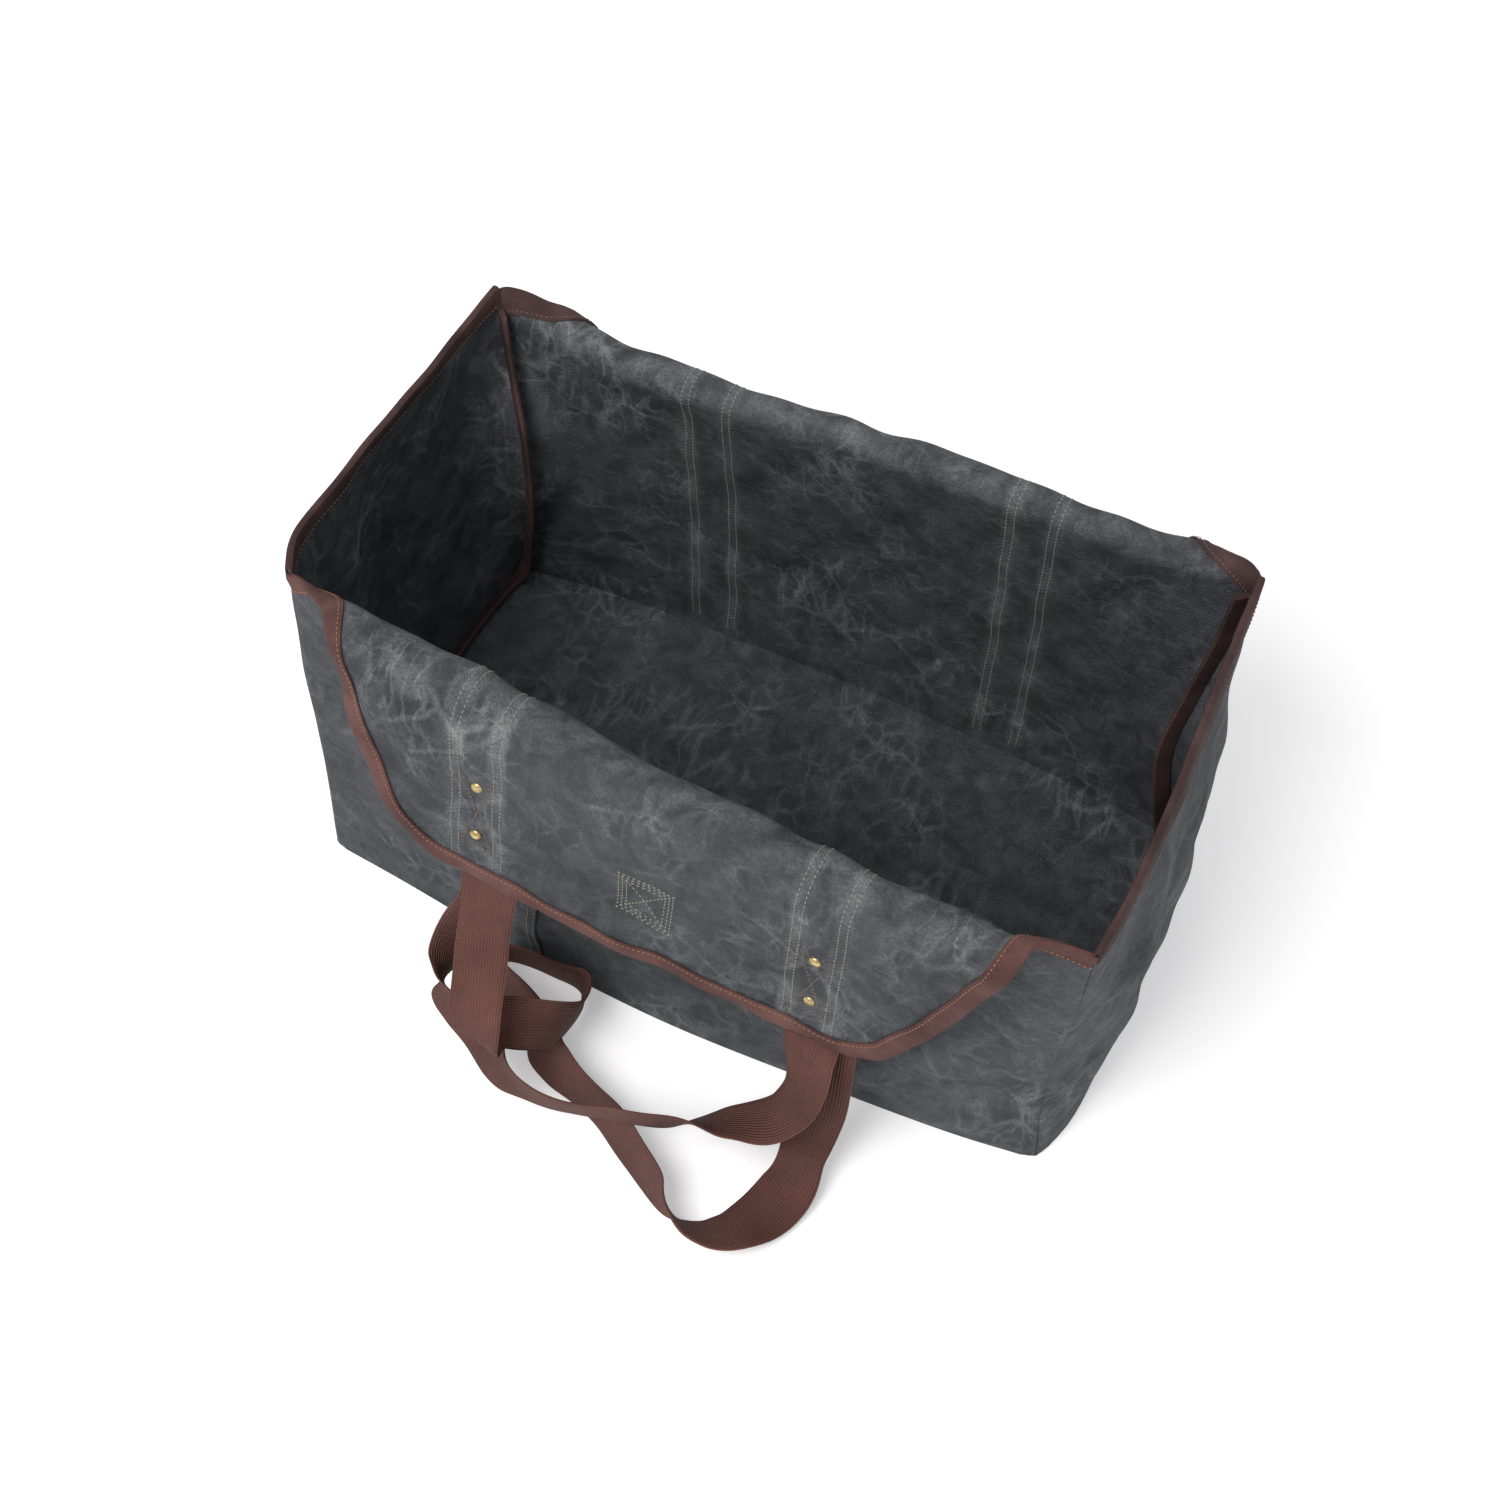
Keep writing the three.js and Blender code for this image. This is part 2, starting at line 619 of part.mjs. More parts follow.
function flapBinding(side) {
  const edge = flapEdge(side);
  const foldEnd = rimHeight + foldRunOf(side) + slopeStep;
  const inwardOf = (i) => {
    const fromEnd = Math.min(i, edge.length - 1 - i);
    if (fromEnd > cornerStations && edge[i].t < foldEnd) return { x: -Math.sign(edge[i].x), t: 0 };
    const before = edge[Math.max(i - 1, 0)];
    const after = edge[Math.min(i + 1, edge.length - 1)];
    const run = Math.hypot(after.x - before.x, after.t - before.t);
    return { x: (after.t - before.t) / run, t: -(after.x - before.x) / run };
  };
  const tape = foldedTape(edge.length, (i, inward, distance) => {
    const direction = inwardOf(i);
    const slack = edge[i].t < foldEnd ? Math.sign(distance) * foldSlack : 0;
    const x = edge[i].x + direction.x * inward;
    const t = edge[i].t + direction.t * inward;
    return besideLongCloth(side, x, t, distance + slack);
  });
  return cutThrough(tape, [longClothBody(side, canvasThickness + 2 * clearance)]);
}

addPiece('front_flap_binding', flapBinding('front'), brownTape);
addPiece('back_flap_binding', flapBinding('back'), brownTape);

// Tape over the rim of each end wall
function endBinding(side) {
  const surface = endCloth(side);
  const reach = (halfWidth - canvasThickness / 2 - tapeGap - tapeThickness - clearance) / (halfWidth - seamSetback);
  const height = rimHeight - wallFoot;
  return foldedTape(endColumns + 1, (i, inward, distance) => {
    const across = Math.min(Math.max(share(-1, 1, i / endColumns), -reach), reach);
    return beside(surface, across, 1 - inward / height, slopeShare, slopeShare, distance, outwardTurn[side]);
  });
}

addPiece('end_binding_left', endBinding('left'), brownTape);
addPiece('end_binding_right', endBinding('right'), brownTape);

// Seam tape: the bound seam allowance that stands into the bag down one corner, along the foot, up the other
function seamBinding(side) {
  const surface = endCloth(side);
  const facing = side === 'left' ? -1 : 1;
  const top = 1 - (tapeWidth + seamTopGap) / rimHeight;
  const route = [];
  const upSteps = 8;
  const alongSteps = 10;
  for (let i = 0; i <= upSteps; i += 1) route.push({ across: -1, up: share(top, seamCornerRise, i / upSteps), lift: 0 });
  for (let i = 0; i <= alongSteps; i += 1) {
    route.push({ across: share(-seamFootReach, seamFootReach, i / alongSteps), up: 0, lift: 1 });
  }
  for (let i = 0; i <= upSteps; i += 1) route.push({ across: 1, up: share(seamCornerRise, top, i / upSteps), lift: 0 });
  const stand = seamTapeThickness / 2 + Math.SQRT2 * (canvasThickness / 2 + seamTapeGap);
  const rings = route.map((place) => {
    const corner = surface(place.across, place.up);
    const towardMiddle = place.lift ? 0 : -Math.sign(place.across);
    const inward = new THREE.Vector3(-facing, towardMiddle, place.lift).normalize();
    const flat = new THREE.Vector3(-facing, -towardMiddle, -place.lift).normalize();
    if (place.lift) corner.z = canvasThickness / 2;
    else corner.y += Math.sign(place.across) * seamSetback;
    const ring = [];
    [[0, -1], [seamTapeWidth, -1], [seamTapeWidth, 1], [0, 1]].forEach(([q, n]) => {
      const p = corner.clone().addScaledVector(inward, stand + q);
      ring.push(p.addScaledVector(flat, (n * seamTapeThickness) / 2));
    });
    return ring;
  });
  return solidFromRings(rings);
}

addPiece('seam_binding_left', seamBinding('left'), brownTape);
addPiece('seam_binding_right', seamBinding('right'), brownTape);

// Strap bands: canvas strips on the outward side of the cloth, from the foot over the fold to the flap's tape
function strapBand(side, hand) {
  const end = rimHeight + flapLengthBySide[side] - tapeWidth - bandEndGap;
  const rowsUp = clothRows(side).filter((t) => t < end - shortestBandRow);
  rowsUp.push(end);
  const centre = strapCentres[hand];
  const across = [-0.5, 0, 0.5];
  const level = (distance) => rowsUp.map((t) => across.map((s) => (
    besideLongCloth(side, centre + s * bandWidth, t, distance)
  )));
  const strip = clothWall(level(bandLevel - bandThickness / 2), level(bandLevel + bandThickness / 2));
  return cutThrough(strip, rivetHoles(side, hand));
}

['front', 'back'].forEach((side) => {
  ['left', 'right'].forEach((hand) => {
    addPiece(`strap_band_${side}_${hand}`, strapBand(side, hand), waxedCanvas);
  });
});

// Handles: flat webbing sewn under the flap at both ends, over the strap bands, and hanging free between.
// across is a share of half the strap spacing, out a share of the reach in front of the flap's tip and up a
// share of the tip's height; wx, wy and wz point across the webbing from its outer edge to its inner one.
const frontLongRoute = [
  { across: -0.88, out: 0.2, up: 0.87, wx: 1.0, wy: 0.0, wz: 0.1 },
  { across: -0.84, out: 0.32, up: 0.82, wx: 0.98, wy: 0.1, wz: 0.15 },
  { across: -0.79, out: 0.48, up: 0.76, wx: 0.97, wy: 0.1, wz: 0.2 },
  { across: -0.75, out: 0.62, up: 0.69, wx: 0.98, wy: 0.1, wz: 0.2 },
  { across: -0.72, out: 0.7, up: 0.59, wx: 0.99, wy: -0.13, wz: 0.03 },
  { across: -0.71, out: 0.62, up: 0.55, wx: 0.78, wy: -0.41, wz: -0.47 },
  { across: -0.66, out: 0.48, up: 0.52, wx: 0.25, wy: -0.6, wz: -0.75 },
  { across: -0.56, out: 0.41, up: 0.49, wx: 0.05, wy: -0.72, wz: -0.7 },
  { across: -0.43, out: 0.29, up: 0.42, wx: -0.1, wy: -0.74, wz: -0.66 },
  { across: -0.4, out: 0.12, up: 0.285, wx: -0.24, wy: -0.68, wz: -0.7 },
  { across: -0.44, out: -0.14, up: 0.175, wx: -0.12, wy: -0.37, wz: -0.92 },
  { across: -0.54, out: -0.26, up: 0.14, wx: 0.0, wy: 0.1, wz: -1.0 },
  { across: -0.72, out: -0.27, up: 0.13, wx: 0.0, wy: 0.15, wz: -0.98 },
  { across: -0.87, out: -0.27, up: 0.13, wx: 0.0, wy: 0.15, wz: -0.98 },
  { across: -1.01, out: -0.24, up: 0.125, wx: -0.1, wy: 0.15, wz: -0.98 },
  { across: -1.06, out: -0.16, up: 0.12, wx: -0.15, wy: 0.05, wz: -0.98 },
  { across: -0.98, out: -0.07, up: 0.115, wx: -0.15, wy: -0.1, wz: -0.98 },
  { across: -0.78, out: 0.02, up: 0.11, wx: -0.15, wy: -0.2, wz: -0.97 },
  { across: -0.61, out: 0.15, up: 0.11, wx: -0.37, wy: -0.3, wz: -0.87 },
  { across: -0.51, out: 0.27, up: 0.11, wx: -0.65, wy: -0.2, wz: -0.72 },
  { across: -0.4, out: 0.34, up: 0.1, wx: -0.64, wy: -0.19, wz: -0.74 },
  { across: -0.27, out: 0.4, up: 0.1, wx: -0.6, wy: -0.07, wz: -0.8 },
  { across: -0.12, out: 0.46, up: 0.1, wx: -0.6, wy: 0.0, wz: -0.8 },
  { across: 0.06, out: 0.54, up: 0.1, wx: -0.56, wy: -0.05, wz: -0.82 },
  { across: 0.25, out: 0.67, up: 0.1, wx: -0.5, wy: -0.04, wz: -0.87 },
  { across: 0.47, out: 0.82, up: 0.1, wx: -0.45, wy: 0.03, wz: -0.89 },
  { across: 0.6, out: 0.93, up: 0.115, wx: 0.07, wy: 0.19, wz: -0.98 },
  { across: 0.71, out: 0.97, up: 0.105, wx: 0.05, wy: 0.5, wz: -0.87 },
  { across: 0.8, out: 0.96, up: 0.09, wx: -0.2, wy: 0.64, wz: -0.74 },
  { across: 0.89, out: 0.91, up: 0.078, wx: -0.46, wy: 0.68, wz: -0.57 },
  { across: 0.98, out: 0.81, up: 0.06, wx: -0.66, wy: 0.62, wz: -0.42 },
  { across: 1.06, out: 0.65, up: 0.04, wx: -0.86, wy: 0.51, wz: -0.05 },
  { across: 1.13, out: 0.47, up: 0.09, wx: -0.93, wy: 0.15, wz: 0.3 },
  { across: 1.15, out: 0.31, up: 0.21, wx: -0.73, wy: -0.5, wz: 0.45 },
  { across: 1.15, out: 0.16, up: 0.3, wx: -0.85, wy: -0.45, wz: 0.22 },
  { across: 1.15, out: 0.06, up: 0.45, wx: -0.97, wy: -0.2, wz: 0.1 },
  { across: 1.15, out: 0.01, up: 0.68, wx: -1.0, wy: 0.0, wz: 0.0 },
];
const frontShortRoute = [
  { across: -0.94, out: 0.02, up: 0.9, wx: 0.98, wy: 0.12, wz: -0.2 },
  { across: -1.03, out: 0.04, up: 0.77, wx: 0.85, wy: 0.4, wz: -0.35 },
  { across: -1.11, out: 0.08, up: 0.63, wx: 0.68, wy: 0.62, wz: -0.38 },
  { across: -1.15, out: 0.17, up: 0.51, wx: 0.44, wy: 0.64, wz: -0.63 },
  { across: -1.14, out: 0.29, up: 0.45, wx: -0.06, wy: 0.5, wz: -0.86 },
  { across: -1.1, out: 0.37, up: 0.41, wx: -0.5, wy: 0.2, wz: -0.83 },
  { across: -1.05, out: 0.39, up: 0.37, wx: -0.62, wy: -0.15, wz: -0.77 },
  { across: -0.97, out: 0.39, up: 0.335, wx: -0.47, wy: -0.47, wz: -0.75 },
  { across: -0.83, out: 0.46, up: 0.305, wx: -0.42, wy: -0.42, wz: -0.8 },
  { across: -0.66, out: 0.61, up: 0.3, wx: -0.5, wy: -0.1, wz: -0.85 },
  { across: -0.52, out: 0.69, up: 0.315, wx: -0.38, wy: 0.08, wz: -0.92 },
  { across: -0.35, out: 0.725, up: 0.33, wx: -0.23, wy: 0.16, wz: -0.96 },
  { across: -0.19, out: 0.725, up: 0.35, wx: -0.2, wy: 0.2, wz: -0.96 },
  { across: -0.05, out: 0.69, up: 0.355, wx: -0.19, wy: 0.19, wz: -0.96 },
  { across: 0.1, out: 0.64, up: 0.365, wx: -0.22, wy: 0.15, wz: -0.96 },
  { across: 0.25, out: 0.59, up: 0.36, wx: -0.29, wy: 0.12, wz: -0.95 },
  { across: 0.43, out: 0.5, up: 0.34, wx: -0.29, wy: 0.12, wz: -0.95 },
  { across: 0.58, out: 0.41, up: 0.325, wx: -0.41, wy: 0.43, wz: -0.8 },
  { across: 0.7, out: 0.34, up: 0.335, wx: -0.5, wy: 0.65, wz: -0.58 },
  { across: 0.82, out: 0.28, up: 0.36, wx: -0.5, wy: 0.74, wz: -0.45 },
  { across: 0.95, out: 0.24, up: 0.43, wx: -0.58, wy: 0.76, wz: -0.28 },
  { across: 1.03, out: 0.18, up: 0.53, wx: -0.7, wy: 0.68, wz: -0.2 },
  { across: 1.07, out: 0.14, up: 0.65, wx: -0.83, wy: 0.52, wz: -0.17 },
  { across: 1.07, out: 0.08, up: 0.77, wx: -0.93, wy: 0.33, wz: -0.12 },
  { across: 1.05, out: 0.03, up: 0.88, wx: -0.98, wy: 0.14, wz: -0.08 },
];

// The handles behind the bag hang alike on both hands, so their rows run from the left root to the middle
const backShortHalf = [
  { across: -1.0, out: -0.01, up: 0.84, wx: 1.0, wy: 0.0, wz: 0.0 },
  { across: -0.99, out: 0.0, up: 0.62, wx: 0.97, wy: -0.2, wz: 0.0 },
  { across: -0.94, out: 0.05, up: 0.38, wx: 0.8, wy: -0.55, wz: 0.2 },
  { across: -0.8, out: 0.14, up: 0.2, wx: 0.5, wy: -0.8, wz: 0.35 },
  { across: -0.55, out: 0.22, up: 0.1, wx: 0.2, wy: -0.97, wz: 0.15 },
  { across: -0.25, out: 0.27, up: 0.06, wx: 0.05, wy: -1.0, wz: 0.0 },
  { across: 0.0, out: 0.28, up: 0.05, wx: 0.0, wy: -1.0, wz: 0.0 },
];
const backLongHalf = [
  { across: -1.02, out: 0.09, up: 0.84, wx: 1.0, wy: 0.0, wz: 0.0 },
  { across: -1.05, out: 0.25, up: 0.64, wx: 0.95, wy: 0.1, wz: -0.1 },
  { across: -1.1, out: 0.5, up: 0.45, wx: 0.8, wy: 0.2, wz: -0.5 },
  { across: -1.16, out: 0.85, up: 0.29, wx: 0.5, wy: 0.25, wz: -0.8 },
  { across: -1.14, out: 1.25, up: 0.18, wx: 0.2, wy: 0.3, wz: -0.93 },
  { across: -0.98, out: 1.65, up: 0.14, wx: 0.0, wy: 0.3, wz: -0.95 },
  { across: -0.68, out: 1.92, up: 0.13, wx: -0.05, wy: 0.35, wz: -0.93 },
  { across: -0.33, out: 2.02, up: 0.13, wx: 0.0, wy: 0.38, wz: -0.92 },
  { across: 0.0, out: 2.05, up: 0.13, wx: 0.0, wy: 0.38, wz: -0.92 },
];

function mirroredRoute(half) {
  const other = half.slice(0, -1).reverse().map((row) => ({ ...row, across: -row.across, wx: -row.wx }));
  return [...half, ...other];
}

const handles = [
  {
    name: 'handle_front_long', side: 'front', route: frontLongRoute, reach: frontHandleReach,
    left: { level: innerStrapLevel, emerge: -0.92 }, right: { level: outerStrapLevel, emerge: 1.12 },
  },
  {
    name: 'handle_front_short', side: 'front', route: frontShortRoute, reach: frontHandleReach,
    left: { level: outerStrapLevel, emerge: -0.96 }, right: { level: innerStrapLevel, emerge: 1.04 },
  },
  {
    name: 'handle_back_long', side: 'back', route: mirroredRoute(backLongHalf), reach: backHandleReach,
    left: { level: innerStrapLevel, emerge: -1.0 }, right: { level: innerStrapLevel, emerge: 1.0 },
  },
  {
    name: 'handle_back_short', side: 'back', route: mirroredRoute(backShortHalf), reach: backHandleReach,
    left: { level: outerStrapLevel, emerge: -1.0 }, right: { level: outerStrapLevel, emerge: 1.0 },
  },
];

// Sewn end of a handle: from the top of its stitching down to just past the flap's taped edge
function sewnStations(handle, hand) {
  const { level, emerge } = handle[hand];
  const sign = hand === 'left' ? 1 : -1;
  const tip = rimHeight + flapLengthBySide[handle.side];
  const steps = 5;
  const stations = [];
  for (let i = 0; i <= steps; i += 1) {
    const s = i / steps;
    const rootX = strapShift + (emerge * strapSpacing) / 2;
    const x = share(strapCentres[hand], rootX, s * s);
    const t = share(tip - sewnLength, tip + tapeGap + tapeThickness + webbingThickness, s);
    stations.push({
      centre: besideLongCloth(handle.side, x, t, level),
      across: new THREE.Vector3(sign, 0, 0),
    });
  }
  return hand === 'left' ? stations : stations.reverse();
}

function freeStations(handle) {
  const facing = handle.side === 'front' ? -1 : 1;
  const tip = clothBySide[handle.side](0, rimHeight + flapLengthBySide[handle.side]);
  const last = handle.route.length - 1;
  const route = new THREE.CatmullRomCurve3(handle.route.map((row) => new THREE.Vector3(
    strapShift + (row.across * strapSpacing) / 2,
    tip.y + facing * row.out * handle.reach,
    row.up * tip.z,
  )), false, 'catmullrom');
  return handle.route.map((row, i) => ({
    centre: route.getPoint(i / last),
    across: new THREE.Vector3(row.wx, row.wy, row.wz).normalize(),
  }));
}

// Flat webbing through a list of stations; where it would sink below the floor it lies on it
function handleGeometry(handle) {
  const stations = [...sewnStations(handle, 'left'), ...freeStations(handle), ...sewnStations(handle, 'right')];
  const last = stations.length - 1;
  const rings = stations.map((station, i) => {
    const before = stations[Math.max(i - 1, 0)].centre;
    const after = stations[Math.min(i + 1, last)].centre;
    const along = after.clone().sub(before).normalize();
    const across = station.across.clone().addScaledVector(along, -station.across.dot(along)).normalize();
    const face = along.clone().cross(across).normalize();
    const halfAcross = webbingWidth / 2;
    const halfFace = webbingThickness / 2;
    const lowest = station.centre.z - Math.abs(across.z) * halfAcross - Math.abs(face.z) * halfFace;
    const centre = station.centre.clone();
    centre.z += Math.max(0, clearance - lowest);
    return [[-1, -1], [1, -1], [1, 1], [-1, 1]].map(([a, f]) => (
      centre.clone().addScaledVector(across, a * halfAcross).addScaledVector(face, f * halfFace)
    ));
  });
  return cutThrough(solidFromRings(rings), rivetHoles(handle.side));
}

handles.forEach((handle) => addPiece(handle.name, handleGeometry(handle), brownWebbing));

rivetPlaces.forEach((place) => {
  addPiece(place.name, rivetGeometry().applyMatrix4(place.frame), brass);
});

export default carrier;
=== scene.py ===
# Canvas log carrier, dressed for the render: waxed canvas walls and flaps, brown binding and webbing.
import math

import bpy
import numpy as np
from mathutils import Matrix, Vector


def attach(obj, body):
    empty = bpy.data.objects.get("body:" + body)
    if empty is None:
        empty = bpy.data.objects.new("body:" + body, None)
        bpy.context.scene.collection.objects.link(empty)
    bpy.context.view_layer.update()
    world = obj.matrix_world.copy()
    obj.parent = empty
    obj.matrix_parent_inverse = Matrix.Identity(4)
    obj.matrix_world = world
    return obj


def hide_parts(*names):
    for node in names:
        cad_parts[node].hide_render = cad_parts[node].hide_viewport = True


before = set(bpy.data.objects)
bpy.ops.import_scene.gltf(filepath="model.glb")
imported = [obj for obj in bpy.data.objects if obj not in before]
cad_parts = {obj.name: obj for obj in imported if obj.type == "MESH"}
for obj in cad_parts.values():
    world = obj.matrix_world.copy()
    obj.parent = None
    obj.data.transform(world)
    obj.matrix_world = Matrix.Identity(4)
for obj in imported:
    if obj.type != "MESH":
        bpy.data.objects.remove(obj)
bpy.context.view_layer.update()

# Camera: the photograph's viewing angle, from above the front left of the bag
CAMERA_AZIMUTH = math.radians(23.6673)
CAMERA_ELEVATION = math.radians(57.8019)
CAMERA_ROLL = math.radians(2.6442)
CAMERA_PLACE = Vector((0.35013, -0.82570, 1.54654))
SENSOR_WIDTH = 36
FOCAL_LENGTH = 58.82

back = Vector((
    math.sin(CAMERA_AZIMUTH) * math.cos(CAMERA_ELEVATION),
    -math.cos(CAMERA_AZIMUTH) * math.cos(CAMERA_ELEVATION),
    math.sin(CAMERA_ELEVATION),
))
level_right = Vector((0, 0, 1)).cross(back).normalized()
level_up = back.cross(level_right)
right = level_right * math.cos(CAMERA_ROLL) + level_up * math.sin(CAMERA_ROLL)
up = level_up * math.cos(CAMERA_ROLL) - level_right * math.sin(CAMERA_ROLL)
camera_data = bpy.data.cameras.new("camera")
camera_data.sensor_width = SENSOR_WIDTH
camera_data.lens = FOCAL_LENGTH
camera = bpy.data.objects.new("camera", camera_data)
bpy.context.scene.collection.objects.link(camera)
camera.matrix_world = Matrix.Translation(CAMERA_PLACE) @ Matrix((right, up, back)).transposed().to_4x4()
bpy.context.scene.camera = camera

# Floor and light: a pale sweep under a large soft key from the front left and an even white surround
FLOOR_HALF_SIZE = 6.0
FLOOR_DROP = 0.0006
FLOOR_COLOUR = (0.8, 0.8, 0.81, 1)
FLOOR_GLOW = 0.4
SURROUND_COLOUR = (1.0, 1.0, 1.0, 1)
SURROUND_STRENGTH = 0.66
KEY_PLACE = Vector((-0.55, -1.55, 2.6))
KEY_AIM = Vector((0.0, -0.05, 0.15))
KEY_SIZE = 1.6
KEY_POWER = 70
KEY_COLOUR = (1.0, 0.985, 0.96)

floor_mesh = bpy.data.meshes.new("floor")
half = FLOOR_HALF_SIZE
floor_corners = [(x, y, -FLOOR_DROP) for x, y in ((-half, -half), (half, -half), (half, half), (-half, half))]
floor_mesh.from_pydata(floor_corners, [], [(0, 1, 2, 3)])
floor = bpy.data.objects.new("floor", floor_mesh)
bpy.context.scene.collection.objects.link(floor)
floor_paint = bpy.data.materials.new("floor_paint")
floor_paint.use_nodes = True
floor_shader = floor_paint.node_tree.nodes["Principled BSDF"]
floor_shader.inputs["Base Color"].default_value = FLOOR_COLOUR
floor_shader.inputs["Roughness"].default_value = 0.9
floor_shader.inputs["Emission Color"].default_value = FLOOR_COLOUR
floor_shader.inputs["Emission Strength"].default_value = FLOOR_GLOW
floor_mesh.materials.append(floor_paint)

world = bpy.data.worlds.new("surround")
world.use_nodes = True
world.node_tree.nodes["Background"].inputs["Color"].default_value = SURROUND_COLOUR
world.node_tree.nodes["Background"].inputs["Strength"].default_value = SURROUND_STRENGTH
bpy.context.scene.world = world

key_data = bpy.data.lights.new("key", "AREA")
key_data.shape = "DISK"
key_data.size = KEY_SIZE
key_data.energy = KEY_POWER
key_data.color = KEY_COLOUR
key = bpy.data.objects.new("key", key_data)
bpy.context.scene.collection.objects.link(key)
key.location = KEY_PLACE
key.rotation_euler = (KEY_AIM - KEY_PLACE).to_track_quat("-Z", "Y").to_euler()
bpy.context.scene.view_settings.view_transform = "Standard"
bpy.context.scene.view_settings.look = "None"

# Front and back panels: each one length of waxed cotton canvas that climbs from the foot to the rim, folds
# outward over it and hangs down outside as a flap, cut at a slant to both sides. It is sewn to the end panels
# at the upright corners, and its wax is scuffed into pale lines and clouds. A pale painted highlight runs
# beside the band seams and a painted sheen over the fold. Lengths are in millimetres.
MM = 0.001
BAG_LENGTH = 550
BAG_WIDTH = 280
RIM_HEIGHT = 313
CANVAS = 2.0
SEAM_SETBACK = 1.15
CORNER_TUCK = 18
TUCK_START = 0.45
LEAN_START = 0.55
FLAP_LEAN = math.radians(8)
RIPPLE_DEPTH = 5
STRAP_SPACING = 233
STRAP_SHIFT = 3.5
BAND_WIDTH = 38
TIP_HALF_WIDTH = 190
TIP_CORNER_RADIUS = 28
WALL_FOOT = 2.3
HALF_LENGTH = BAG_LENGTH / 2
HALF_WIDTH = BAG_WIDTH / 2
WALL_REACH = HALF_LENGTH - SEAM_SETBACK
CORNER_RADIUS = 7
CORNER_SETBACK = 2.2
CORNER_FADE = 0.07
BELLY_SINK = 0.35

# Rows of each long side: across as a share of the half length, then shares of the lengths above them. Slants:
# down the flap as a share of its length, then where its left and right edges lie, from 0 at the tip's half
# width to 1 at the corner.
LONG_SIDES = {
    "front": {
        "cut": (0.547, 0.510), "area": 0.254,
        "facing": -1, "foot": 21, "belly": 16, "radius": 20, "lift": 16, "out": 6, "flap": 197,
        "tucks": ("front_left", "front_right"),
        "rows": {
            "across": (-1.0, -0.78, -0.42, 0.0, 0.42, 0.78, 1.0),
            "foot": (0.0, 0.25, 0.75, 1.0, 0.75, 0.4, 0.0),
            "belly": (0.0, 0.3, 0.6, 1.0, 0.8, 0.5, 0.0),
            "lift": (0.0, 1.0, 0.6, -0.1, -0.45, -0.4, 0.0),
            "out": (0.0, -0.8, -0.9, 0.2, 0.7, 0.9, 0.0),
            "radius": (0.35, 0.95, 1.05, 1.0, 1.0, 0.85, 0.35),
            "lean": (0.6, 0.9, 1.1, 0.72, 0.6, 0.8, 0.6),
            "ripple": (0.0, 0.4, -0.2, 0.5, -0.6, 0.5, 0.0),
        },
        "slants": {
            "down": (0.0, 0.02, 0.04, 0.07, 0.1, 0.15, 0.3, 0.6, 1.0),
            "left": (1.0, 0.96, 0.88, 0.75, 0.64, 0.51, 0.32, 0.09, -0.28),
            "right": (1.0, 0.93, 0.72, 0.61, 0.58, 0.56, 0.44, 0.16, -0.32),
        },
    },
    "back": {
        "cut": (0.547, 0.503), "area": 0.251,
        "facing": 1, "foot": 14, "belly": 12, "radius": 12, "lift": 22, "out": 8, "flap": 190,
        "tucks": ("back_left", "back_right"),
        "rows": {
            "across": (-1.0, -0.87, -0.75, -0.4, 0.0, 0.4, 0.75, 0.87, 1.0),
            "foot": (0.0, 0.27, 0.5, 0.8, 1.0, 0.8, 0.4, 0.2, 0.0),
            "belly": (0.0, 0.15, 0.3, 0.7, 1.0, 0.9, 0.5, 0.24, 0.0),
            "lift": (0.0, -0.6, -1.0, -0.8, -0.5, -0.3, -0.35, -0.2, 0.0),
            "out": (0.0, -0.6, -1.0, -1.0, -0.7, -0.4, -0.4, -0.24, 0.0),
            "radius": (0.65, 1.25, 1.15, 1.0, 1.0, 1.0, 0.95, 0.85, 0.5),
            "lean": (0.6, 0.8, 1.0, 1.0, 0.9, 1.0, 1.0, 0.8, 0.6),
            "ripple": (0.0, 0.15, 0.3, -0.3, 0.4, -0.4, 0.3, 0.15, 0.0),
        },
        "slants": {
            "down": (0.0, 0.03, 0.06, 0.1, 0.15, 0.3, 0.6, 1.0),
            "left": (1.0, 0.985, 0.92, 0.78, 0.58, 0.3, 0.08, -0.3),
            "right": (1.0, 0.98, 0.9, 0.75, 0.56, 0.32, 0.12, -0.28),
        },
    },
}
# How far each upright corner caves in, as shares of the tuck, from the foot to the rim
CORNERS = {
    "up": (0.0, 0.25, 0.45, 0.65, 0.82, 1.0),
    "front_left": (0.0, 0.1, 0.1, 0.0, 0.0, 0.0),
    "front_right": (0.0, 0.45, 0.35, 0.15, 0.05, 0.0),
    "back_left": (0.2, 1.0, 1.6, 1.5, 0.6, 0.0),
    "back_right": (0.2, 0.8, 1.1, 0.7, 0.25, 0.0),
}
# How far the top of each upright corner leans into the bag, across it and along it, in millimetres
CORNER_LEANS = {"front_left": 15, "front_right": -8, "back_left": 0, "back_right": -5}
CORNER_DRAWS = {"front_left": 0, "front_right": 0, "back_left": 0, "back_right": 6}
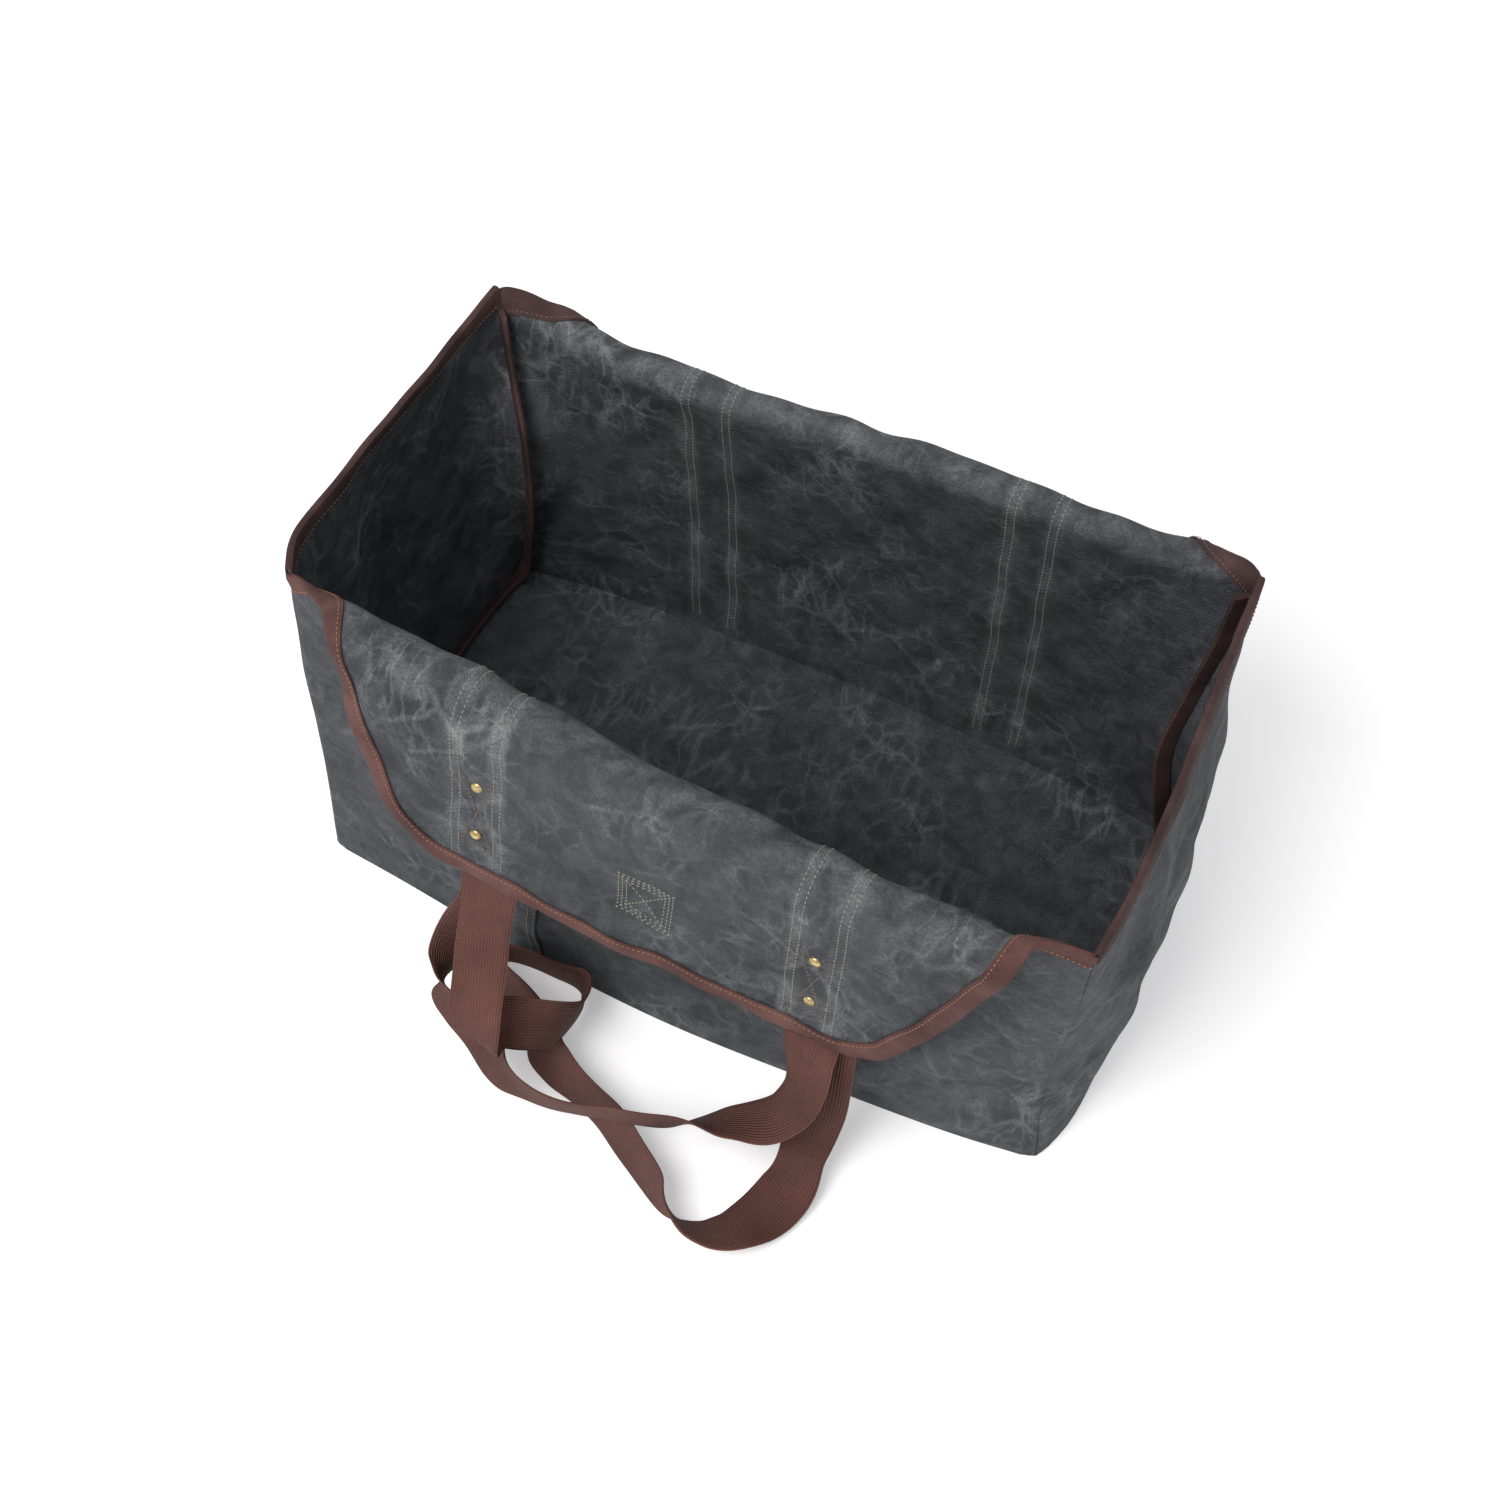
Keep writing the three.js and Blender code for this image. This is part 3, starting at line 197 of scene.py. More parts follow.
# Creases of the long cloths: from (x, t) to (x, t) in millimetres, width and depth; t climbs the wall
# to RIM_HEIGHT and goes on over the fold and down the flap.
CREASES = {
    "front": (
        (-262, 300, -215, 392, 10, 3.0),
        (-225, 330, -150, 420, 14, -2.5),
        (-60, 360, 10, 440, 16, 1.6),
        (60, 350, 130, 470, 16, -1.6),
        (235, 300, 190, 400, 10, 3.0),
        (255, 20, 215, 250, 16, -4.0),
        (262, 40, 240, 290, 9, 3.0),
        (-262, 60, -215, 200, 14, -2.5),
        (90, 10, 150, 120, 18, 2.0),
        (-120, 10, -60, 90, 20, 2.0),
    ),
    "back": (
        (-262, 60, -180, 290, 18, 4.0),
        (-235, 100, -150, 320, 12, -3.0),
        (-90, 130, -40, 320, 16, 2.5),
        (40, 100, 75, 310, 18, -2.5),
        (150, 120, 210, 330, 14, 3.0),
        (255, 120, 190, 300, 14, -3.0),
        (-200, 380, -140, 470, 16, 2.5),
        (60, 360, 20, 470, 18, -2.5),
        (150, 370, 190, 450, 14, 2.5),
    ),
}
# Slow unevenness of all the cloth: wavelength along the cloth, up the cloth and phase
LUMPS = ((170, 240, 0.4), (120, -150, 2.1), (-85, 130, 4.0), (210, 70, 5.2), (62, 88, 1.3), (-48, 71, 3.3))
LUMP_DEPTH = 0.55


def between(table, key, column, at):
    """Smooth value of one column of a table, at places along its key column."""
    xs, ys = np.array(table[key]), np.array(table[column])
    last = len(xs) - 1
    before = np.maximum(np.arange(last + 1) - 1, 0)
    after = np.minimum(np.arange(last + 1) + 1, last)
    slopes = (ys[after] - ys[before]) / (xs[after] - xs[before])
    place = np.clip(at, xs[0], xs[-1])
    i = np.clip(np.searchsorted(xs, place) - 1, 0, last - 1)
    run = xs[i + 1] - xs[i]
    s = (place - xs[i]) / run
    return (
        (1 + 2 * s) * (1 - s) ** 2 * ys[i]
        + s * s * (3 - 2 * s) * ys[i + 1]
        + s * (1 - s) ** 2 * run * slopes[i]
        + s * s * (s - 1) * run * slopes[i + 1]
    )


def columns_at(rows, across):
    """Every column of a side's rows, at places across it."""
    return {name: between(rows, "across", name, across) for name in rows if name != "across"}


def corner_tuck(names, across, climb):
    """How far the cloth caves in beside an upright corner, in millimetres."""
    tuck = np.where(
        across < 0,
        between(CORNERS, "up", names[0], climb),
        between(CORNERS, "up", names[1], climb),
    )
    near = np.maximum(0, (np.abs(across) - TUCK_START) / (1 - TUCK_START))
    return CORNER_TUCK * tuck * near * near


def corner_lean(table, names, across, climb):
    """How far the cloth beside an upright corner leans into the bag, most of all at the rim."""
    lean = np.where(across < 0, table[names[0]], table[names[1]])
    near = np.maximum(0, (np.abs(across) - LEAN_START) / (1 - LEAN_START))
    return lean * near * near * climb * climb


def corner_fade(climb):
    """1 where two walls meet in a rounded corner seam, falling to 0 at the rim."""
    s = np.clip((1 - climb) / CORNER_FADE, 0, 1)
    return s * s * (3 - 2 * s)


def corner_round(inset, climb):
    """How far a wall turns in towards its corner seam, inset being the distance to the corner."""
    run = np.clip(CORNER_RADIUS - inset, 0, 0.75 * CORNER_RADIUS)
    return (CORNER_RADIUS - np.sqrt(CORNER_RADIUS ** 2 - run ** 2)) * corner_fade(climb)


def folds(creases, a, b):
    """Height of the creases and of the slow unevenness at cloth coordinates a, b."""
    total = np.zeros_like(a)
    for a0, b0, a1, b1, width, depth in creases:
        da, db = a1 - a0, b1 - b0
        s = np.clip(((a - a0) * da + (b - b0) * db) / (da * da + db * db), 0, 1)
        off = np.hypot(a - a0 - s * da, b - b0 - s * db) / width
        total += depth * np.exp(-off * off) * (0.35 + 0.65 * np.sin(np.pi * s))
    for wave_a, wave_b, phase in LUMPS:
        total += LUMP_DEPTH * np.sin(2 * np.pi * (a / wave_a + b / wave_b) + phase)
    return total


def long_cloth(side, x, t):
    """Middle surface of a long cloth at x along the bag and t up the cloth, in millimetres."""
    form = LONG_SIDES[side]
    across = x / HALF_LENGTH
    column = columns_at(form["rows"], across)
    radius = form["radius"] * column["radius"]
    fold_start = RIM_HEIGHT + form["lift"] * column["lift"] - radius
    climb = np.minimum(t / RIM_HEIGHT, 1)
    tuck = corner_tuck(form["tucks"], across, climb)
    foot = form["foot"] * column["foot"] * (1 - climb) ** 2
    belly = form["belly"] * column["belly"] * 4 * climb * (1 - climb) * (1 - BELLY_SINK * climb)
    depth = HALF_WIDTH + foot + belly + form["out"] * column["out"] * climb ** 2 - tuck
    depth = depth - corner_round(HALF_LENGTH - np.abs(x), climb)
    depth = depth - corner_lean(CORNER_LEANS, form["tucks"], across, climb)
    lean = FLAP_LEAN * column["lean"]
    beyond = np.maximum(t - RIM_HEIGHT, 0)
    angle = np.minimum(beyond / radius, np.pi - lean)
    hang = np.maximum(beyond - radius * (np.pi - lean), 0)
    ripple = RIPPLE_DEPTH * column["ripple"] * hang / LONG_SIDES["front"]["flap"]
    outward = depth + radius * (1 - np.cos(angle)) + hang * np.sin(lean) + ripple
    height = np.where(
        t <= RIM_HEIGHT,
        WALL_FOOT + (fold_start - WALL_FOOT) * climb,
        fold_start + radius * np.sin(angle) - hang * np.cos(lean),
    )
    draw = tuck * (t <= RIM_HEIGHT) + corner_lean(CORNER_DRAWS, form["tucks"], across, climb)
    across_place = x * (1 - draw / HALF_LENGTH)
    return np.stack([across_place, form["facing"] * outward, height], axis=-1)


def long_point(side, x, t, distance):
    """Point beside a long cloth: distance along its outward side, creases included."""
    x, t = np.broadcast_arrays(np.asarray(x, float), np.asarray(t, float))
    step = 0.5
    along_x = long_cloth(side, x + step, t) - long_cloth(side, x - step, t)
    along_t = long_cloth(side, x, t + step) - long_cloth(side, x, t - step)
    normal = np.cross(along_x, along_t) * -LONG_SIDES[side]["facing"]
    normal /= np.linalg.norm(normal, axis=-1, keepdims=True)
    calm = np.minimum(1, t / 25) * np.minimum(1, np.maximum(HALF_LENGTH - np.abs(x), 0) / 30)
    offset = distance + folds(CREASES[side], x, t) * calm
    return long_cloth(side, x, t) + normal * np.asarray(offset)[..., None]


def cloth_reach(side, t, hand):
    """Half width of a long cloth at t, on the left (-1) or right (1) side."""
    form = LONG_SIDES[side]
    down = (t - RIM_HEIGHT) / form["flap"]
    reach = between(form["slants"], "down", "left" if hand < 0 else "right", down)
    straight = TIP_HALF_WIDTH + (WALL_REACH - TIP_HALF_WIDTH) * reach
    into_corner = np.clip(TIP_CORNER_RADIUS - (1 - down) * form["flap"], 0, TIP_CORNER_RADIUS)
    rounding = TIP_CORNER_RADIUS - np.sqrt(TIP_CORNER_RADIUS ** 2 - into_corner ** 2)
    wall = WALL_REACH - (CORNER_SETBACK - SEAM_SETBACK) * corner_fade(np.minimum(t / RIM_HEIGHT, 1))
    return np.where(t <= RIM_HEIGHT, wall, straight - rounding)


def close_ended(count):
    """Places from -1 to 1, closer together beside the ends."""
    close = np.array([0.0, 0.005, 0.01, 0.015, 0.02, 0.03, 0.045])
    return np.concatenate([close - 1, np.linspace(-0.935, 0.935, count), 1 - close[::-1]])


def finish_mesh(name, points, faces, uvs, material, smooth_angle=50):
    """An object from points in millimetres, facing outward, with a UV for each point in metres."""
    points = np.asarray(points, float).reshape(-1, 3)
    mesh = bpy.data.meshes.new(name)
    corner = points[[f[0] for f in faces]]
    volume = 0.0
    for i in range(1, max(len(f) for f in faces) - 1):
        rows = [k for k, f in enumerate(faces) if len(f) > i + 1]
        b = points[[faces[k][i] for k in rows]]
        c = points[[faces[k][i + 1] for k in rows]]
        volume += np.einsum("ij,ij->i", corner[rows], np.cross(b, c)).sum()
    if volume < 0:
        faces = [tuple(reversed(f)) for f in faces]
    mesh.from_pydata((points * MM).tolist(), [], faces)
    layer = mesh.uv_layers.new(name="UVMap")
    loops = np.empty(len(mesh.loops), dtype=np.int32)
    mesh.loops.foreach_get("vertex_index", loops)
    layer.data.foreach_set("uv", np.asarray(uvs, float).reshape(-1, 2)[loops].ravel())
    mesh.materials.append(material)
    mesh.shade_smooth()
    mesh.set_sharp_from_angle(angle=math.radians(smooth_angle))
    piece = bpy.data.objects.new(name, mesh)
    bpy.context.scene.collection.objects.link(piece)
    return piece


def shell(name, face_a, face_b, uv, material):
    """A closed wall between two grids of points, rows by columns."""
    rows, columns = face_a.shape[:2]
    points = np.concatenate([face_a.reshape(-1, 3), face_b.reshape(-1, 3)])
    uvs = np.concatenate([uv.reshape(-1, 2), uv.reshape(-1, 2)])
    other = rows * columns
    faces = []
    for r in range(rows - 1):
        for c in range(columns - 1):
            a = r * columns + c
            faces.append((a, a + 1, a + columns + 1, a + columns))
            faces.append((other + a, other + a + columns, other + a + columns + 1, other + a + 1))
    rim = list(range(columns))
    rim += [r * columns + columns - 1 for r in range(1, rows)]
    rim += [(rows - 1) * columns + c for c in range(columns - 2, -1, -1)]
    rim += [r * columns for r in range(rows - 2, 0, -1)]
    for k, a in enumerate(rim):
        b = rim[(k + 1) % len(rim)]
        faces.append((b, a, other + a, other + b))
    return finish_mesh(name, points, faces, uvs, material)


def add_node(tree, kind, settings=None, inputs=None):
    """A node of a kind: its settings are made first, then the values or links of its sockets."""
    node = tree.nodes.new(kind)
    for name, setting in (settings or {}).items():
        setattr(node, name, setting)
    for key, given in (inputs or {}).items():
        if isinstance(given, Value):
            tree.links.new(given.socket, node.inputs[key])
        elif isinstance(given, bpy.types.NodeSocket):
            tree.links.new(given, node.inputs[key])
        else:
            node.inputs[key].default_value = given
    return node


class Value:
    """A shader value: sums, differences and products of values add their Math nodes."""

    def __init__(self, tree, socket):
        self.tree = tree
        self.socket = socket

    def math(self, operation, first, second, clamp=False):
        settings = {"operation": operation, "use_clamp": clamp}
        node = add_node(self.tree, "ShaderNodeMath", settings, {0: first, 1: second})
        return Value(self.tree, node.outputs[0])

    def __add__(self, other):
        return self.math("ADD", self, other)

    def __radd__(self, other):
        return self.math("ADD", other, self)

    def __sub__(self, other):
        return self.math("SUBTRACT", self, other)

    def __rsub__(self, other):
        return self.math("SUBTRACT", other, self)

    def __mul__(self, other):
        return self.math("MULTIPLY", self, other)

    def __rmul__(self, other):
        return self.math("MULTIPLY", other, self)

    def size(self):
        return self.math("ABSOLUTE", self, 0.0)

    def wave(self):
        return self.math("SINE", self, 0.0)

    def held(self):
        """The same value, kept between 0 and 1."""
        return self.math("ADD", self, 0.0, clamp=True)

    def ramp(self, low, high):
        """0 at low, 1 at high, smooth between."""
        inputs = {"Value": self, "From Min": low, "From Max": high}
        node = add_node(self.tree, "ShaderNodeMapRange", {"interpolation_type": "SMOOTHSTEP"}, inputs)
        return Value(self.tree, node.outputs["Result"])

    def blend(self, colour_a, colour_b):
        """Colour from colour_a at 0 to colour_b at 1; each is a colour or a colour socket."""
        inputs = {0: self, 6: colour_a, 7: colour_b}
        return add_node(self.tree, "ShaderNodeMix", {"data_type": "RGBA"}, inputs).outputs[2]


def new_material(name):
    material = bpy.data.materials.new(name)
    material.use_nodes = True
    tree = material.node_tree
    shader = tree.nodes["Principled BSDF"]
    place = add_node(tree, "ShaderNodeTexCoord")
    return material, tree, shader, place


def noise(tree, place, scale, detail=4.0, roughness=0.55, distortion=0.0):
    inputs = {"Vector": place, "Scale": scale, "Detail": detail}
    inputs.update({"Roughness": roughness, "Distortion": distortion})
    return Value(tree, add_node(tree, "ShaderNodeTexNoise", {}, inputs).outputs["Fac"])


def bump(tree, shader, height, distance):
    node = add_node(tree, "ShaderNodeBump", {}, {"Distance": distance, "Height": height})
    tree.links.new(node.outputs["Normal"], shader.inputs["Normal"])


CANVAS_DARK = (0.021, 0.0235, 0.029, 1)
CANVAS_MID = (0.053, 0.0575, 0.067, 1)
CANVAS_PALE = (0.2, 0.211, 0.224, 1)
SEAM_INSET = 4.2
FOLD_MIDDLE = 22


def bent_place(tree, place, scale, bend):
    """Coordinates pushed about by noise, so that patterns laid on them wander."""
    wander = add_node(tree, "ShaderNodeTexNoise", {}, {"Vector": place, "Scale": scale})
    inputs = {0: wander.outputs["Color"], 1: (bend, bend, bend), 2: place}
    return add_node(tree, "ShaderNodeVectorMath", {"operation": "MULTIPLY_ADD"}, inputs).outputs["Vector"]


def crack_lines(tree, place, scale, width):
    """1 on the borders between irregular cells, 0 inside them."""
    inputs = {"Vector": place, "Scale": scale}
    cells = add_node(tree, "ShaderNodeTexVoronoi", {"feature": "DISTANCE_TO_EDGE"}, inputs)
    return (1 - Value(tree, cells.outputs["Distance"]).ramp(0.0, width)).held()


def stretched(tree, place, turn, scale):
    inputs = {"Vector": place, "Rotation": turn, "Scale": scale}
    return add_node(tree, "ShaderNodeMapping", {}, inputs).outputs["Vector"]


def canvas_material(name, seams):
    """Waxed canvas; seams adds pale painted highlights beside the sewn bands' seams and a painted sheen over
    the rim's fold.
    """
    material, tree, shader, place = new_material(name)
    spot = place.outputs["Object"]
    bent = bent_place(tree, spot, 16.0, 0.032)
    cloud = noise(tree, spot, 7.0, 4.0, 0.6).ramp(0.32, 0.7)
    mottle = noise(tree, spot, 55.0, 6.0, 0.68, 0.5).ramp(0.3, 0.72)
    grain = noise(tree, spot, 620.0, 3.0, 0.7).ramp(0.25, 0.75)
    worn = noise(tree, spot, 11.0, 4.0, 0.6).ramp(0.42, 0.68)
    rubbed = noise(tree, bent, 23.0, 4.0, 0.6).ramp(0.46, 0.7)
    web = crack_lines(tree, bent, 21.0, 0.075) * worn
    fine_web = crack_lines(tree, bent, 58.0, 0.16) * rubbed
    slant = stretched(tree, bent, (0.5, 0.7, 0.6), (70.0, 16.0, 22.0))
    streak = 1 - (noise(tree, slant, 1.0, 3.0, 0.5) - 0.5).size().ramp(0.0, 0.05)
    pale = web * 0.31 + fine_web * 0.27 + streak.held() * worn * 0.3 + mottle * 0.14
    if seams:
        split = add_node(tree, "ShaderNodeSeparateXYZ", {}, {"Vector": place.outputs["UV"]})
        along = Value(tree, split.outputs["X"])
        up_cloth = Value(tree, split.outputs["Y"])
        from_band = ((along - STRAP_SHIFT * MM).size() - STRAP_SPACING * MM / 2).size()
        beside_seam = (from_band - (BAND_WIDTH / 2 - SEAM_INSET) * MM).size()
        # painted highlight: pale lines beside the band seams, where raised seam ridges catch the light, made
        # patchy by the rub noise
        seam_ridge_highlight = (1 - beside_seam.ramp(0.002, 0.009)).held() * (rubbed * 0.7 + 0.3)
        # painted sheen: a pale band over the top of the rim's fold
        fold_sheen = 1 - (up_cloth - (RIM_HEIGHT + FOLD_MIDDLE) * MM).size().ramp(0.0, 0.03)
        pale = pale + seam_ridge_highlight * 0.42 + fold_sheen.held() * mottle * 0.22
    ground = (cloud * 0.35 + mottle * 0.4 + grain * 0.4 - 0.08).held().blend(CANVAS_DARK, CANVAS_MID)
    colour = (pale * (grain * 1.1 + 0.4)).held().blend(ground, CANVAS_PALE)
    tree.links.new(colour, shader.inputs["Base Color"])
    tree.links.new((cloud * -0.08 + 0.8).socket, shader.inputs["Roughness"])
    shader.inputs["Specular IOR Level"].default_value = 0.3
    bump(tree, shader, grain * 0.5 + mottle * 0.7 + pale * 0.6, 0.0009)
    return material


waxed_canvas = canvas_material("waxed_canvas", False)
# the long cloths' canvas, with the painted highlight beside the band seams and the painted sheen over the
# fold
sewn_canvas_painted_sheen = canvas_material("sewn_canvas_painted_sheen", True)
CLOTH_STEP = 5.0


def cloth_rows(side):
    fold_run = 1.05 * math.pi * LONG_SIDES[side]["radius"]
    tip = RIM_HEIGHT + LONG_SIDES[side]["flap"]
    wall = np.arange(0, RIM_HEIGHT, CLOTH_STEP)
    near_rim = RIM_HEIGHT + np.linspace(0, fold_run, 36)
    hang = np.linspace(RIM_HEIGHT + fold_run, tip, 30)
    return np.concatenate([wall, near_rim, hang[1:]])


def long_panel(side):
    rows = cloth_rows(side)
    share = (close_ended(int(BAG_LENGTH / CLOTH_STEP)) + 1) / 2
    left = -cloth_reach(side, rows, -1)
    right_edge = cloth_reach(side, rows, 1)
    x = left[:, None] + (right_edge - left)[:, None] * share
    t = np.repeat(rows[:, None], len(share), axis=1)
    uv = np.stack([x * MM, t * MM], axis=-1)
    inner = long_point(side, x, t, -CANVAS / 2)
    outer = long_point(side, x, t, CANVAS / 2)
    return shell(f"{side}_cloth", inner, outer, uv, sewn_canvas_painted_sheen)


for side in ("front", "back"):
    piece = long_panel(side)
    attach(piece, "root")
    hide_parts(f"{side}_panel")

# End panels: two shorter pieces of the same waxed canvas, sewn to the long ones at the upright corners and to
# the bottom at the foot. They are soft, so they belly outward and crease between the seams.
END_FOOT = 12
END_BELLY = 21
END_RIM = 9
END_CREASE = 3.5
ENDS = {
    "left": {
        "facing": -1, "tucks": ("front_left", "back_left"),
        "rows": {
            "across": (-1.0, -0.7, -0.35, 0.0, 0.4, 0.75, 1.0),
            "foot": (0.0, 0.3, 0.45, 0.5, 0.45, 0.25, 0.0),
            "belly": (0.0, 0.3, 0.7, 1.0, 0.8, 0.4, 0.0),
            "rim": (0.0, 1.2, 1.0, 0.75, 0.4, 0.2, 0.0),
            "crease": (0.0, 0.5, -0.8, 1.0, -0.7, 0.5, 0.0),
        },
    },
    "right": {
        "facing": 1, "tucks": ("front_right", "back_right"),
        "rows": {
            "across": (-1.0, -0.75, -0.45, -0.1, 0.3, 0.7, 1.0),
            "foot": (0.0, 0.8, 1.0, 0.9, 0.6, 0.3, 0.0),
            "belly": (0.0, 0.45, 0.65, 0.8, 0.6, 0.4, 0.0),
            "rim": (0.0, 0.3, 0.3, 0.05, -0.2, -0.4, 0.0),
            "crease": (0.0, -0.6, 1.0, -0.8, 0.9, -0.6, 0.0),
        },
    },
}
# Creases of the end cloths: from (y, z) to (y, z) in millimetres, width and depth
END_CREASES = {
    "left": (
        (-120, 60, -70, 290, 14, 3.5),
        (-60, 40, -90, 220, 12, -2.5),
        (10, 60, -15, 270, 16, 3.0),
        (80, 40, 50, 240, 14, -3.0),
        (120, 120, 90, 280, 12, 3.0),
    ),
    "right": (
        (-130, 40, -60, 280, 13, 4.5),
        (-115, 20, -95, 180, 9, -3.0),
        (-40, 60, -75, 270, 11, -3.5),
        (0, 30, 20, 260, 15, 4.0),
        (60, 60, 35, 230, 11, -3.5),
        (110, 60, 70, 290, 13, 4.0),
        (-100, 200, -20, 250, 12, 2.5),
    ),
}


def end_cloth(side, across, climb):
    """Middle surface of an end cloth; across is a share of the half width, climb a share of the height."""
    form = ENDS[side]
    column = columns_at(form["rows"], across)
    tuck = corner_tuck(form["tucks"], across, climb)
    bulge = (
        END_FOOT * column["foot"] * (1 - climb) ** 2
        + END_BELLY * column["belly"] * 4 * climb * (1 - climb)
        + END_RIM * column["rim"] * climb ** 2
        + END_CREASE * column["crease"] * np.sin(np.pi * climb)
    )
    reach = HALF_WIDTH - SEAM_SETBACK - (CORNER_SETBACK - SEAM_SETBACK) * corner_fade(climb)
    x = HALF_LENGTH + bulge - tuck - corner_round(HALF_WIDTH - np.abs(across) * reach, climb)
    x = x - corner_lean(CORNER_DRAWS, form["tucks"], across, climb)
    y = across * (reach - tuck - corner_lean(CORNER_LEANS, form["tucks"], across, climb))
    return np.stack([form["facing"] * x, y, WALL_FOOT + (RIM_HEIGHT - WALL_FOOT) * climb], axis=-1)


def end_point(side, across, climb, distance):
    """Point beside an end cloth: distance along its outward side, creases included."""
    across, climb = np.broadcast_arrays(np.asarray(across, float), np.asarray(climb, float))
    step = 0.005
    along_a = end_cloth(side, across + step, climb) - end_cloth(side, across - step, climb)
    along_b = end_cloth(side, across, climb + step) - end_cloth(side, across, climb - step)
    normal = np.cross(along_a, along_b) * ENDS[side]["facing"]
    normal /= np.linalg.norm(normal, axis=-1, keepdims=True)
    calm = np.minimum(1, climb / 0.08) * np.minimum(1, np.maximum(1 - np.abs(across), 0) / 0.15)
    rim_calm = np.minimum(1, 0.25 + np.maximum(1 - climb, 0) / 0.15)
    offset = distance + folds(END_CREASES[side], across * HALF_WIDTH, climb * RIM_HEIGHT) * calm * rim_calm
    return end_cloth(side, across, climb) + normal * np.asarray(offset)[..., None]


for side in ("left", "right"):
    across = close_ended(int(BAG_WIDTH / CLOTH_STEP))[None, :]
    climb = np.linspace(0, 1, int(RIM_HEIGHT / CLOTH_STEP) + 1)[:, None]
    uv = np.stack(np.broadcast_arrays(across * HALF_WIDTH * MM, climb * RIM_HEIGHT * MM), axis=-1)
    piece = shell(
        f"end_cloth_{side}",
        end_point(side, across, climb, -CANVAS / 2),
        end_point(side, across, climb, CANVAS / 2),
        uv,
        waxed_canvas,
    )
    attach(piece, "root")
    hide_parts(f"end_panel_{side}")

# Bottom panel: one flat piece of the same canvas on which the bag stands, sewn to the foot of the four walls,
# so its outline follows theirs.
BOTTOM_COLUMNS = 56
BOTTOM_ROWS = 28

u = np.linspace(-1, 1, BOTTOM_COLUMNS + 1)
v = np.linspace(-1, 1, BOTTOM_ROWS + 1)
edge = CANVAS / 2
zero = np.zeros_like(u)
front_edge = -long_cloth("front", u * HALF_LENGTH, zero)[:, 1] + edge
back_edge = long_cloth("back", u * HALF_LENGTH, zero)[:, 1] + edge
left_edge = -end_cloth("left", v, np.zeros_like(v))[:, 0] + edge
right_edge = end_cloth("right", v, np.zeros_like(v))[:, 0] + edge
grid_u, grid_v = np.meshgrid(u, v)
bottom_x = np.where(grid_u < 0, grid_u * left_edge[:, None], grid_u * right_edge[:, None])
bottom_y = np.where(grid_v < 0, grid_v * front_edge[None, :], grid_v * back_edge[None, :])
lower = np.stack([bottom_x, bottom_y, np.zeros_like(bottom_x)], axis=-1)
upper = lower + np.array([0, 0, CANVAS])
piece = shell("bottom_cloth", lower, upper, np.stack([bottom_x, bottom_y], axis=-1) * MM, waxed_canvas)
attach(piece, "root")
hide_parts("bottom_panel")

# Bindings: woven brown tape folded over the free edges of the flaps and over the rim of each end wall, and
# sewn through with one row of stitches. At the rims and on the back flap the tape is painted darker, as
# painted shade.
TAPE_WIDTH = 12.5
TAPE = 1.2
TAPE_GAP = 0.5
TAPE_STEP = 3.0
TAPE_BROWN = (0.05, 0.02, 0.019, 1)
TAPE_WORN = (0.19, 0.092, 0.079, 1)
# painted shade: a darker copy of the brown tape colours, for the rims, the seam tapes and the back flap
TAPE_SHADED = (0.03, 0.014, 0.0145, 1)
TAPE_SHADED_WORN = (0.12, 0.068, 0.064, 1)
TAPE_SWELL = 0.15
END_TAPE_REACH = (-1.012, 1.005)


def tape_material(name, brown, worn):
    material, tree, shader, place = new_material(name)
    spot = place.outputs["Object"]
    cloud = noise(tree, spot, 22.0, 4.0).ramp(0.35, 0.75)
    grain = noise(tree, spot, 700.0, 2.0, 0.6)
    tree.links.new((cloud * 0.5 + grain * 0.35 - 0.1).held().blend(brown, worn), shader.inputs["Base Color"])
    shader.inputs["Roughness"].default_value = 0.82
    shader.inputs["Specular IOR Level"].default_value = 0.25
    bump(tree, shader, grain + cloud * 0.5, 0.0008)
    return material


brown_tape = tape_material("brown_tape", TAPE_BROWN, TAPE_WORN)
# painted shade: the darker copy of the tape material
shaded_tape = tape_material("shaded_tape", TAPE_SHADED, TAPE_SHADED_WORN)


def tube(name, rings, uvs, material, smooth_angle=50):
    """A closed body through equal rings of points, its two ends capped."""
    count = len(rings[0])
    faces = []
    for r in range(len(rings) - 1):
        for i in range(count):
            a, b = r * count + i, r * count + (i + 1) % count
            faces.append((a, b, b + count, a + count))
    last = (len(rings) - 1) * count
    half_ring = count // 2
    for i in range(half_ring - 1):
        j = count - 1 - i
        faces.append((i, j, j - 1, i + 1))
        faces.append((last + i, last + i + 1, last + j - 1, last + j))
    return finish_mesh(name, np.concatenate(rings), faces, np.concatenate(uvs), material, smooth_angle)


def folded_tape(name, stations, edge_point, material):
    """Tape folded over an edge; edge_point(inward, distance) gives one point for each station."""
    near = CANVAS / 2 + TAPE_GAP
    far = near + TAPE
    around = (
        (TAPE_WIDTH, far), (TAPE_WIDTH * 0.5, far + TAPE_SWELL), (1.0, far), (-0.9, far * 0.75), (-1.7, 0.0),
        (-0.9, -far * 0.75), (1.0, -far), (TAPE_WIDTH * 0.5, -far - TAPE_SWELL), (TAPE_WIDTH, -far),
        (TAPE_WIDTH, -near), (1.0, -near), (-TAPE_GAP, -near * 0.5), (-TAPE_GAP, near * 0.5),
        (1.0, near), (TAPE_WIDTH * 0.5, near), (TAPE_WIDTH, near),
    )
    grid = np.stack([edge_point(inward, distance) for inward, distance in around], axis=1)
    along = np.arange(stations) * TAPE_STEP * MM
    uv = np.stack([
        np.stack([np.full(stations, i * 0.002), along], axis=-1) for i in range(len(around))
    ], axis=1)
    return tube(name, list(grid), list(uv), material, 40)


